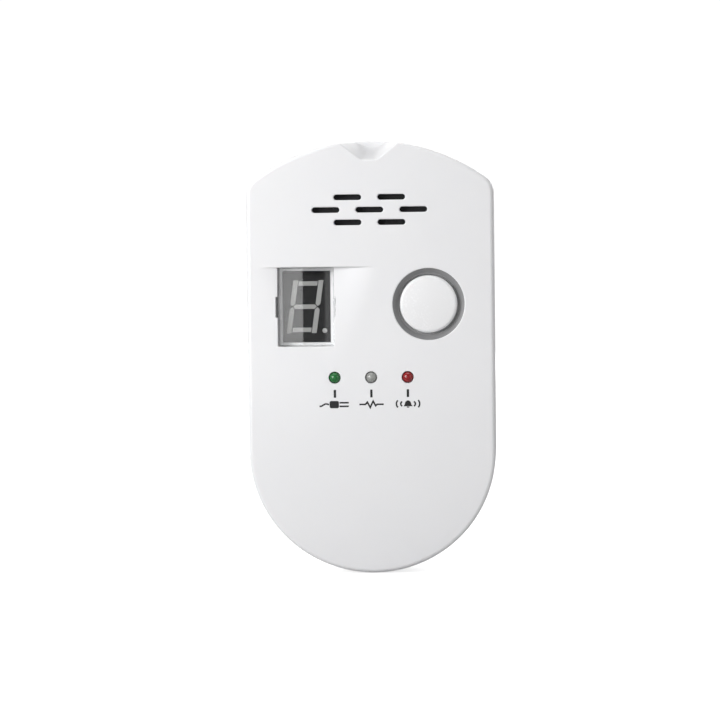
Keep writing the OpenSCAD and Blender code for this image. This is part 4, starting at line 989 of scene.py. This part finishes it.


# --- Indicator lights ---------------------------------------------------------------------------
# Three 3 mm lamps of cast epoxy with a domed tip and a flange at the foot, pushed through the cover
# from behind. A pressed metal cup shows through the resin.
def epoxy(name, dark, light, clear, rough=0.12):
    """Cast epoxy: tinted, clear to the given share, with the faint swirl of the pour."""
    made, tree, out = finish_tree(name)
    place = node(tree, "TexCoord").outputs["Object"]
    swirl = node(tree, "TexNoise", {"Vector": place, "Scale": 900.0, "Detail": 3.0, "Distortion": 0.6})
    tone = node(tree, "Mix", {"Factor": swirl.outputs[0], "A": linear(dark), "B": linear(light)},
                data_type="RGBA")
    gloss = node(tree, "MapRange", {"Value": swirl.outputs[0], "From Min": 0.3, "From Max": 0.7,
                                    "To Min": rough * 0.6, "To Max": rough * 1.5})
    ripple = node(tree, "Bump", {"Height": swirl.outputs[0], "Strength": 0.15, "Distance": 0.00004})
    resin = node(tree, "BsdfPrincipled", {"Base Color": tone.outputs["Result"], "Roughness": gloss.outputs[0],
                                          "Normal": ripple.outputs[0], "IOR": 1.52,
                                          "Transmission Weight": clear, "Coat Weight": 0.3,
                                          "Coat Roughness": 0.08})
    tree.links.new(resin.outputs[0], out.inputs["Surface"])
    return made


# Deep green and deep red resin glow only where light gets into the dome; the third is water-clear
# with a milky cast. All have the wet gloss of a casting.
y_tip, y_lamp_foot = [in_mm(end.y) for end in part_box("power_led")]
lamp_r, flange_out, y_lamp_flange = 1.5, 1.9, y_lamp_foot - 1.0
cups = Moulding()
for (cx, cz), stem, slot_name, dark, light, clear in [
        (light_spots[0], "power", "green_epoxy", "#06501d", "#2a9c4b", 0.3),
        (light_spots[1], "state", "milky_epoxy", "#b9bab7", "#d4d5d2", 0.5),
        (light_spots[2], "alarm", "red_epoxy", "#6e060b", "#c4161f", 0.3)]:
    lamp = Moulding()
    dome = [(lamp_r * math.sin(a), y_tip + lamp_r * (1 - math.cos(a)))
            for a in np.radians(np.linspace(0.5, 90, 13))]
    foot = rounded([(lamp_r, y_tip + lamp_r), (lamp_r, y_lamp_flange), (flange_out, y_lamp_flange),
                    (flange_out, y_lamp_foot), (0.012, y_lamp_foot)], [0, 0.12, 0.08], 2)
    turned(lamp, cx, cz, dome + foot[1:], n=40, sharp=[len(dome), len(dome) + len(foot) - 3])
    lamp_piece = lamp.make(f"{stem}_light", epoxy(f"epoxy, {stem} light, cast", dark, light, clear))
    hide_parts(f"{stem}_led")
    turned(cups, cx, cz, [(0.012, -42.3), (0.28, -42.3), (0.5, -42.62), (0.62, -42.62), (0.62, -41.0),
                          (0.012, -41.0)], n=20, sharp=[1, 2, 3, 4])


def metal(name, dark, light, rough, pitch, bump=0.2, stretch=(1, 1, 1)):
    """A plain metal: tone clouded by handling, with marks of the given pitch in mm, which stretch
    draws out along an axis."""
    made, tree, out = finish_tree(name)
    place = node(tree, "TexCoord").outputs["Object"]
    drawn = node(tree, "Mapping", {"Vector": place, "Scale": stretch})
    cloud = node(tree, "TexNoise", {"Vector": place, "Scale": 180.0, "Detail": 3.0})
    line = node(tree, "TexNoise", {"Vector": drawn.outputs[0], "Scale": 1000 / pitch, "Detail": 3.0})
    tone = node(tree, "Mix", {"Factor": cloud.outputs[0], "A": linear(dark), "B": linear(light)},
                data_type="RGBA")
    gloss = node(tree, "MapRange", {"Value": line.outputs[0], "From Min": 0.3, "From Max": 0.7,
                                    "To Min": rough * 0.75, "To Max": rough * 1.3})
    depth = pitch / 1000 / 10
    relief = node(tree, "Bump", {"Height": line.outputs[0], "Strength": bump, "Distance": depth})
    plate = node(tree, "BsdfPrincipled", {"Base Color": tone.outputs["Result"], "Roughness": gloss.outputs[0],
                                          "Normal": relief.outputs[0], "Metallic": 1.0})
    tree.links.new(plate.outputs[0], out.inputs["Surface"])
    return made


# Dipped tin: a pale soft silver, dulled a little where it was handled
tin = metal("steel wire, tin dipped", "#b9b9b4", "#d6d6d1", 0.28, 0.4)
cup_piece = cups.make("light_cups", tin)


# --- Rear cover ---------------------------------------------------------------------------------
# The back half of the case, one moulding in the same white ABS: a tray with a locating lip, a shadow
# groove at the split, four screw posts, two rows of vents, and the hollow boss that holds the plug.
rear = Moulding()
y_panel, y_floor, y_end = -17.0, -19.0, -3.0


def tray(inset, y, lip_y=None):
    """The case outline at a depth. lip_y moves it to the lip's depth, but for the gap at the top."""
    loop = case_outline(inset, y_split, 1)
    if lip_y is None:
        return level(loop, y)
    open_top = (np.abs(loop[:, 0]) < 10.5) & (loop[:, 1] > 40)
    return level(loop, np.where(open_top, y - 0.02 * abs(lip_y - y), lip_y))


# The wall from the back panel round the chamfer to the groove, as (inset, depth), then over the lip
# and down inside to the floor
wall_line = [(2.1, y_panel)] + [tuple(q) for q in corner((2.1, y_panel), (1.6, y_panel), (1.25, -17.35), 3)]
wall_line += [(1.25, -17.35), (0.35, -18.25)]
wall_line += [tuple(q) for q in corner((0.35, -18.25), (0, -18.6), (0, -19.1), 3)]
wall_line += [(0, -19.1), (0, -21.6), (0, -24.1), (0, -26.55), (0.04, -26.66), (0.15, -26.7), (0.5, -26.7),
              (0.5, y_split), (2.1, y_split)]
strips = [tray(inset, y) for inset, y in wall_line]
crisp = [len(wall_line) - 3, len(wall_line) - 2, len(wall_line) - 1]
strips += [tray(inset, y_split, lip_y) for inset, lip_y in
           [(2.1, -28.6), (2.25, -28.8), (2.95, -28.8), (3.1, -28.6), (3.1, -27.05)]]
crisp += [len(strips) - 1]
strips += [tray(3.0, -26.98), tray(3.0, -24.0), tray(wall, -24.0), tray(wall, y_floor)]
crisp += [len(strips) - 4, len(strips) - 3, len(strips) - 2, len(strips) - 1]
to_back = lambda loop: np.tile([0.0, 1.0, 0.0], (len(loop), 1))
to_front = lambda loop: np.tile([0.0, -1.0, 0.0], (len(loop), 1))
ids = rear.loft(strips, like=to_back(strips[0]), sharp=crisp)
panel_loops, floor_loops = [(ids[0], to_back(ids[0]))], [(ids[-1], to_front(ids[-1]))]

# Two rows of seven upright vents through the back panel
vent_w, vent_h, vent_step, vent_from_end = 1.8, 9.0, 4.0, 13
for cz in (z_low + vent_from_end, z_top - vent_from_end):
    for cx in np.arange(-3, 4) * vent_step:
        vent_loops = [level(slot(0, 0, vent_h, vent_w, grow)[:, ::-1] * [-1, 1] + [cx, cz], y) for grow, y in
                      [(0.25, y_panel), (0.1, y_panel - 0.05), (0.03, y_panel - 0.14), (0, y_panel - 0.28),
                       (0, y_floor)]]
        ids = rear.loft(vent_loops, like=to_back(vent_loops[0]), sharp=[4])
        panel_loops.append((ids[0], to_back(ids[0])))
        floor_loops.append((ids[-1], to_front(ids[-1])))

# Screw posts: a counterbore for the head, the shank's hole, and the post that stands on the floor
y_head_rest = -21.0
for cx, cz in case_posts:
    post_loops = [level(ring(cx, cz, r, 48), y) for r, y in
                  [(3.2, y_panel), (3.06, -17.06), (3.0, -17.2), (3.0, y_head_rest), (1.65, y_head_rest),
                   (1.65, -26.8), (1.8, -27.0), (4.25, -27.0), (4.4, -26.85), (4.4, y_floor)]]
    ids = rear.loft(post_loops, like=to_back(post_loops[0]), sharp=[3, 4, 9])
    panel_loops.append((ids[0], to_back(ids[0])))
    floor_loops.append((ids[-1], to_front(ids[-1])))


# The plug boss, with a flat recess at its top and foot and a groove on each side. Round as it is, it
# keeps the pins square to the wall.
def boss(r, top=15.8, top_half=4.5, flank=17.0, flank_half=2.2, soft=0.35):
    """The boss outline, anticlockwise from its right side: a circle with the four flats cut in."""
    low_a, high_a = math.degrees(math.asin(flank_half / r)), math.degrees(math.acos(top_half / r))
    arcs = arc(0, 0, r, low_a, high_a, 14)
    first, last = arcs[0], arcs[-1]
    step = lambda a, b: a + (b - a) / np.linalg.norm(b - a) * min(soft, 0.45 * np.linalg.norm(b - a))
    groove, mouth = np.array([flank, flank_half]), np.array([top_half, top])
    quad = [np.array([flank, 0.0]), step(groove, np.array([flank, 0.0])), step(groove, first)]
    quad += [step(first, groove)] + list(arcs[1:-1]) + [step(last, mouth), step(mouth, last)]
    quad = np.array(quad + [step(mouth, np.array([0.0, top])), np.array([0.0, top])])
    right_half = np.concatenate([quad, quad[:-1][::-1] * [-1, 1]])
    return np.concatenate([right_half, right_half[1:-1][::-1] * [1, -1]])


boss_r = 18.4
boss_loops = [level(boss(r), y) for r, y in
              [(boss_r, y_panel), (boss_r, -12.0), (boss_r, -7.0), (boss_r, -1.25), (18.33, -1.0),
               (17.62, -0.25), (17.4, -0.06), (17.2, 0.0)]]
ids = rear.loft(boss_loops, like=np.insert(outward(boss(boss_r)), 1, 0, axis=1), sharp=[0])
panel_loops.append((ids[0], to_back(ids[0])))
end_loops = [(ids[-1], to_back(ids[-1]))]
hollow = boss(16.2, 13.6, 6.7, 14.8, 4.4)
ids = rear.loft([level(hollow, y_floor), level(hollow, -11.0), level(hollow, y_end)],
                like=-np.insert(outward(hollow), 1, 0, axis=1), sharp=[0, 2])
floor_loops.append((ids[0], to_front(ids[0])))
inner_end = [(ids[-1], to_front(ids[-1]))]

# Its end wall: a hole for each pin, and the post for the clamp screw inside
for name in ("left_plug_pin", "right_plug_pin"):
    hole_loops = [level(ring(*middle(name), r, 48), y) for r, y in
                  [(2.95, 0), (2.82, -0.05), (2.75, -0.2), (2.75, y_end)]]
    ids = rear.loft(hole_loops, like=to_back(hole_loops[0]), sharp=[3])
    end_loops.append((ids[0], to_back(ids[0])))
    inner_end.append((ids[-1], to_front(ids[-1])))
clamp_loops = [level(ring(0, 0, r, 32), y) for r, y in
               [(2.6, y_end), (2.6, -4.85), (2.45, -5.0), (1.4, -5.0), (1.22, -4.8), (1.22, -1.0)]]
ids = rear.loft(clamp_loops, like=np.insert(outward(ring(0, 0, 1, 32)), 1, 0, axis=1), sharp=[0])
inner_end.append((ids[0], to_front(ids[0])))
rear.face(list(ids[-1]), [[0, -1, 0]] * 32)
at_depth = lambda y: lambda x, z, u: np.full_like(x, y)
rear.sheet(at_depth(y_panel), panel_loops, (), 3.0, -1)
rear.sheet(at_depth(0.0), end_loops, (), 3.0, -1)
rear.sheet(at_depth(y_floor), floor_loops, (), 4.0, 1)
rear.sheet(at_depth(y_end), inner_end, (), 4.0, 1)
rear_piece = rear.make("rear_cover_moulding", abs_white)
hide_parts("rear_cover")


# --- Cloth behind the grille --------------------------------------------------------------------
# Black acoustic cloth, plain woven from polyester thread 0.3 mm across. It is cut to size and stuck
# to the pad behind the slots, where it keeps dust and fingers out.
def woven(name, dark, light, pitch, rough, metallic=0.0, depth=0.8):
    """A plain weave seen along Y: threads of the given pitch in mm run over and under each other. The colour is
    lighter where a thread rides over, a painted highlight, and darker where it dips under, a painted shade.
    """
    made, tree, out = finish_tree(name)
    place = node(tree, "TexCoord").outputs["Object"]
    turn = 1000 * math.pi / pitch
    run = node(tree, "VectorMath", {0: place, 1: (turn, turn, turn)}, operation="MULTIPLY")
    part = node(tree, "SeparateXYZ", {"Vector": run.outputs[0]})
    warp = node(tree, "Math", {0: part.outputs["X"]}, operation="SINE")
    weft = node(tree, "Math", {0: part.outputs["Z"]}, operation="SINE")
    over = node(tree, "Math", {0: warp.outputs[0], 1: weft.outputs[0]}, operation="MULTIPLY")
    fluff = node(tree, "TexNoise", {"Vector": place, "Scale": 2500.0, "Detail": 3.0})
    mixed = node(tree, "Math", {0: over.outputs[0], 1: fluff.outputs[0]}, operation="ADD")
    share = node(tree, "MapRange", {"Value": mixed.outputs[0], "From Min": -0.6, "From Max": 1.5})
    # The tone follows the weave: painted shade where a thread dips under, a painted highlight where it rides over
    tone = node(tree, "Mix", {"Factor": share.outputs[0], "A": linear(dark), "B": linear(light)},
                data_type="RGBA")
    gloss = node(tree, "MapRange", {"Value": share.outputs[0], "To Min": rough, "To Max": rough * 0.8})
    relief = node(tree, "Bump", {"Height": mixed.outputs[0], "Strength": depth, "Distance": pitch * 1e-4})
    cloth = node(tree, "BsdfPrincipled", {"Base Color": tone.outputs["Result"], "Roughness": gloss.outputs[0],
                                          "Normal": relief.outputs[0], "Metallic": metallic,
                                          "Sheen Weight": 0.0 if metallic else 0.2})
    tree.links.new(cloth.outputs[0], out.inputs["Surface"])
    return made


# Open black weave: matt, with a painted glint where a thread crosses over and painted shade where it dips under
wear("grille_cloth", woven("polyester cloth, black, plain woven, painted glints", "#040405", "#17171a", 0.3, 0.9))


# --- Main board ---------------------------------------------------------------------------------
# Green solder mask over a glass laminate, with copper tracks under the mask and a silk-screen gloss,
# held by four small zinc-plated screws.
# Solder mask: a glossy deep green, lighter where it lies over copper, with the glass weave just
# showing. The tracks are 2.5 mm apart, coarser than real ones, so that they show.
board_mask, tree, out = finish_tree("glass laminate, green solder mask")
place = node(tree, "TexCoord").outputs["Object"]
bent = node(tree, "TexNoise", {"Vector": place, "Scale": 60.0, "Detail": 0.0})
laid_flat = node(tree, "Mapping", {"Vector": place, "Rotation": (math.pi / 2, 0, 0)})
tracks = node(tree, "TexBrick", {"Vector": laid_flat.outputs[0], "Scale": 110.0, "Mortar Size": 0.035,
                                 "Mortar Smooth": 0.3, "Brick Width": 0.7, "Row Height": 0.28,
                                 "Color1": (0, 0, 0, 1), "Color2": (0, 0, 0, 1), "Mortar": (1, 1, 1, 1)})
glass_weave = node(tree, "TexNoise", {"Vector": place, "Scale": 1400.0, "Detail": 2.0})
lacquer = node(tree, "Mix", {"Factor": tracks.outputs["Color"], "A": linear("#0f5a30"),
                             "B": linear("#2c8a50")}, data_type="RGBA")
clouded = node(tree, "Mix", {"Factor": bent.outputs[0], "A": lacquer.outputs["Result"],
                             "B": linear("#0c4a28")}, data_type="RGBA")
raised = node(tree, "Math", {0: tracks.outputs["Color"], 1: glass_weave.outputs[0]}, operation="ADD")
relief = node(tree, "Bump", {"Height": raised.outputs[0], "Strength": 0.4, "Distance": 0.00003})
gloss = node(tree, "MapRange", {"Value": glass_weave.outputs[0], "To Min": 0.28, "To Max": 0.42})
mask = node(tree, "BsdfPrincipled", {"Base Color": clouded.outputs["Result"], "Roughness": gloss.outputs[0],
                                     "Normal": relief.outputs[0], "IOR": 1.55, "Coat Weight": 0.3,
                                     "Coat Roughness": 0.2})
tree.links.new(mask.outputs[0], out.inputs["Surface"])
wear("main_board", board_mask)

# Zinc plate: a cool grey metal with a soft blurred shine
zinc = metal("steel, zinc plated and passivated", "#9fa4a8", "#c6cacc", 0.34, 0.3, 0.3)
wear("board_screws", zinc)
wear("clamp_screw", zinc)


# --- Parts on the board -------------------------------------------------------------------------
# The push switch, the sounder, the gas sensor and the parts of the mains supply, each soldered in
# by its tinned legs.
for name in ("display_pins", "led_leads", "sounder_pins", "sensor_pins", "capacitor_wires", "fuse_wires",
             "controller_legs"):
    wear(name, tin)

# Glass-filled nylon: a dry dark grey, slightly mottled by the fibres at its skin
wear("switch_body", moulded("nylon with glass fibre, dark grey, moulded", "#232426", "#2e2f31", 0.55, 0.2, 0.5))

# Plain black nylon, smoother and a touch greasy
wear("switch_plunger", moulded("nylon, black, moulded", "#0f0f10", "#19191a", 0.48, 0.25, 0.4))

# Undyed nylon: warm off-white that lets a little light in
wear("led_spacers", moulded("nylon, natural, moulded", "#dcdad0", "#e9e7df", 0.45, 0.25, 0.3, 0.15))

# Satin black PBT, with an even fine grain all over
wear("sounder_body", moulded("PBT, black, satin moulded", "#101011", "#1b1b1c", 0.5, 0.3, 0.5))

# Rolled brass: warm yellow with straight rolling marks
wear("sounder_disc", metal("brass sheet, rolled", "#a3803a", "#c9a456", 0.3, 0.2, 0.3, (1, 1, 8)))

# Pressed phenolic: a matt mottled brown
wear("sensor_base", moulded("phenolic, brown, compression moulded", "#5c4526", "#7a6038", 0.6, 0.3, 0.6))

# Nickel over drawn steel: warm silver with draw marks round the can
wear("sensor_can", metal("steel, deep drawn, nickel plated", "#a9a79f", "#cfcdc6", 0.24, 0.5, 0.3, (1, 12, 1)))

# Steel gauze, 0.25 mm apart: bright crossings, a painted highlight, over dark gaps, a painted shade
wear("sensor_gauze", woven("steel gauze, plain woven, painted glints and shade", "#2b2b2b", "#a3a3a0", 0.25, 0.4, 1.0, 1.0))

# Ferrite: dead matt charcoal, as rough as a stone where it was ground
wear("transformer_core", moulded("ferrite, sintered and ground", "#1d1d1f", "#2f2f31", 0.62, 0.15, 0.8))


def taped(name, dark, light, pitch):
    """Glossy polyester tape wound in turns of the given pitch in mm, with a fine edge at each turn."""
    made, tree, out = finish_tree(name)
    place = node(tree, "TexCoord").outputs["Object"]
    turns = node(tree, "TexWave", {"Vector": place, "Scale": 1000 / pitch / 20 * math.pi, "Distortion": 0.6,
                                   "Detail": 1.0},
                 wave_type="BANDS", bands_direction="Z", wave_profile="SAW")
    rub = node(tree, "TexNoise", {"Vector": place, "Scale": 500.0, "Detail": 3.0})
    tone = node(tree, "Mix", {"Factor": turns.outputs["Fac"], "A": linear(dark), "B": linear(light)},
                data_type="RGBA")
    gloss = node(tree, "MapRange", {"Value": rub.outputs[0], "To Min": 0.16, "To Max": 0.34})
    relief = node(tree, "Bump", {"Height": turns.outputs["Fac"], "Strength": 0.4, "Distance": 0.00006})
    film = node(tree, "BsdfPrincipled", {"Base Color": tone.outputs["Result"], "Roughness": gloss.outputs[0],
                                         "Normal": relief.outputs[0], "IOR": 1.6, "Coat Weight": 0.4,
                                         "Coat Roughness": 0.1})
    tree.links.new(film.outputs[0], out.inputs["Surface"])
    return made


# Yellow tape: bright and shiny, darker at the edge of each turn
wear("transformer_coil", taped("polyester tape, yellow, wound", "#c98f0a", "#ecb41e", 3.0))

# Shrunk vinyl: a tight, glossy dark blue skin
sleeve = moulded("vinyl sleeve, dark blue, shrunk", "#0d1638", "#16224e", 0.25, 0.6, 0.3)
wear("bulk_capacitor", sleeve)
wear("output_capacitor", sleeve)

# A yellow box, waxy smooth
wear("filter_capacitor", moulded("polypropylene box, yellow, moulded", "#c28d0c", "#dca41c", 0.35, 0.3, 0.3))

# Glazed ceramic: tan, with a hard shine
wear("fuse", moulded("ceramic tube, tan, fired", "#a68c62", "#bfa67c", 0.3, 0.4, 0.4))

# Dipped epoxy: blue, with the uneven skin of a coating that ran a little
wear("varistor", moulded("epoxy, blue, dipped", "#153f86", "#2557a6", 0.35, 0.8, 0.5))

# Chip compound: matt black with a fine sandy grain
compound = moulded("epoxy compound, black, transfer moulded", "#121213", "#1e1e1f", 0.6, 0.12, 0.8)
for name in ("bridge_rectifier", "controller_chip", "regulator"):
    wear(name, compound)

# Glassy black film on the resistors, and a satin tan on the small ceramic capacitors
wear("resistors", moulded("glaze over thick film, black", "#0d0d0e", "#1a1a1b", 0.3, 0.15, 0.3))
wear("ceramic_capacitors", moulded("ceramic, tan, fired chips", "#8f744a", "#ab8e60", 0.42, 0.15, 0.4))


# --- Mains leads and plug pins ------------------------------------------------------------------
# Two short PVC leads in shrink sleeves run from the board to the solid pins, which are brass rods,
# turned and nickel plated, held against the boss by a clamp bar.

# Brown and blue PVC: a soft, slightly greasy gloss
wear("live_lead", moulded("PVC, brown, extruded", "#3d1d0c", "#552b14", 0.42, 0.5, 0.3))
wear("neutral_lead", moulded("PVC, blue, extruded", "#123c8f", "#1d4fae", 0.42, 0.5, 0.3))

# Shrink sleeve: duller black, faintly wrinkled
wear("lead_sleeves", moulded("polyolefin sleeve, black, shrunk", "#0b0b0c", "#161617", 0.55, 0.3, 0.5))

# The clamp bar: a dry mid grey, speckled by its glass fibres
wear("pin_clamp", moulded("nylon with glass fibre, grey, moulded", "#303133", "#3d3e40", 0.55, 0.25, 0.5))

# Nickel on turned brass: bright, a little warm, with fine turning marks round the rod
nickel = metal("brass rod, turned, nickel plated", "#b5b1a8", "#d9d6cf", 0.16, 0.25, 0.25, (1, 12, 1))
pin_r, tip_r, tail_r, collar_r, seat_r = 2.4, 1.6, 1.6, 3.6, 2.7
y_tail, y_pin_tip = [in_mm(end.y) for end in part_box("left_plug_pin")]
for name in ("left_plug_pin", "right_plug_pin"):
    pin = Moulding()
    tip = [(pin_r - tip_r * (1 - math.cos(a)), y_pin_tip - tip_r * (1 - math.sin(a)))
           for a in np.radians(np.linspace(0, 90, 10))]
    rod = rounded([(1.4, y_tail), (tail_r, y_tail + 0.2), (tail_r, -5.0), (collar_r, -5.0), (collar_r, y_end),
                   (seat_r, y_end), (seat_r, 0.0), (pin_r, 0.0)], [0, 0, 0.2, 0.15, 0.05, 0.1], 2)
    rod = [(0.012, y_tail)] + rod
    turned(pin, *middle(name), rod + tip + [(0.012, y_pin_tip)], n=48, sharp=[3, len(rod) - 2])
    pin_piece = pin.make(name + "_turned", nickel)
    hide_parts(name)


# --- Case screws --------------------------------------------------------------------------------
# Four thread-forming steel screws, cold headed with a pan head and a cross recess, and zinc plated.
# They go in from the back, sink into the counterbores and pull the two halves together.
def cross(cx, cz, arm, half):
    """A cross outline with arms of the given reach and half width."""
    quarter_of = np.array([(half, -arm), (half, -half), (arm, -half)], float)
    turn = np.array([[0, 1], [-1, 0]])
    return np.concatenate([quarter_of @ np.linalg.matrix_power(turn, k) for k in range(4)]) + [cx, cz]


screws = Moulding()
shank_r, thread_low, thread_pitch, y_crown = 1.45, 1.2, 1.0, -19.2
for cx, cz in case_posts:
    shank = [(0.012, -35.0), (0.9, -34.4)]
    for k in range(12):
        y = -34.2 + k * thread_pitch
        shank += [(thread_low, y), (shank_r, y + 0.42), (shank_r, y + 0.52), (thread_low, y + 0.95)]
    shank += [(shank_r, -21.8), (shank_r, y_head_rest), (2.7, y_head_rest)]
    head = [(2.7, -20.1), (2.62, -19.75), (2.4, -19.45), (2.1, -19.25), (1.85, y_crown)]
    body_ids = screws.loft([level(ring(cx, cz, r, 36), y) for r, y in shank + head],
                           like=np.insert(outward(ring(cx, cz, 1, 36)), 1, 0, axis=1),
                           sharp=[0, len(shank) - 2, len(shank) - 1])
    recess = [(cross(cx, cz, arm, half), y) for arm, half, y in
              [(1.45, 0.34, y_crown), (1.38, 0.29, -19.3), (0.7, 0.12, -20.1)]]
    recess_ids = screws.loft([level(loop, y) for loop, y in recess],
                             like=-np.insert(outward(recess[0][0]), 1, 0, axis=1), sharp=[0, 1, 2])
    screws.sheet(at_depth(y_crown), [(ids, to_back(ids)) for ids in (body_ids[-1], recess_ids[0])],
                 (), 0.8, -1)
    screws.face(list(recess_ids[-1]), [[0, 1, 0]] * 12)
    screws.face(list(body_ids[0]), [[0, -1, 0]] * 36)
screw_piece = screws.make("case_screws_pan_head", zinc)
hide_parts("case_screws")


# --- Rating label -------------------------------------------------------------------------------
# A blank silver label, die cut from metallised polyester foil with round corners, and stuck to the
# back below the plug.
foil = Moulding()
y_foil = in_mm(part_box("rating_label")[1].y)
boxed(foil, *middle("rating_label"), 30.0, 14.0, [(0, y_panel, 0), (0, y_foil - 0.03, 0), (-0.03, y_foil, 0)], 1.2)

# Metallised foil: pale silver, silky, with a fine upright brushing
foil_silver = metal("polyester foil, silver, brushed print", "#b6b8ba", "#cfd1d2", 0.45, 0.2, 0.2, (1, 1, 14))
foil_piece = foil.make("rating_label_foil", foil_silver)
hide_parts("rating_label")
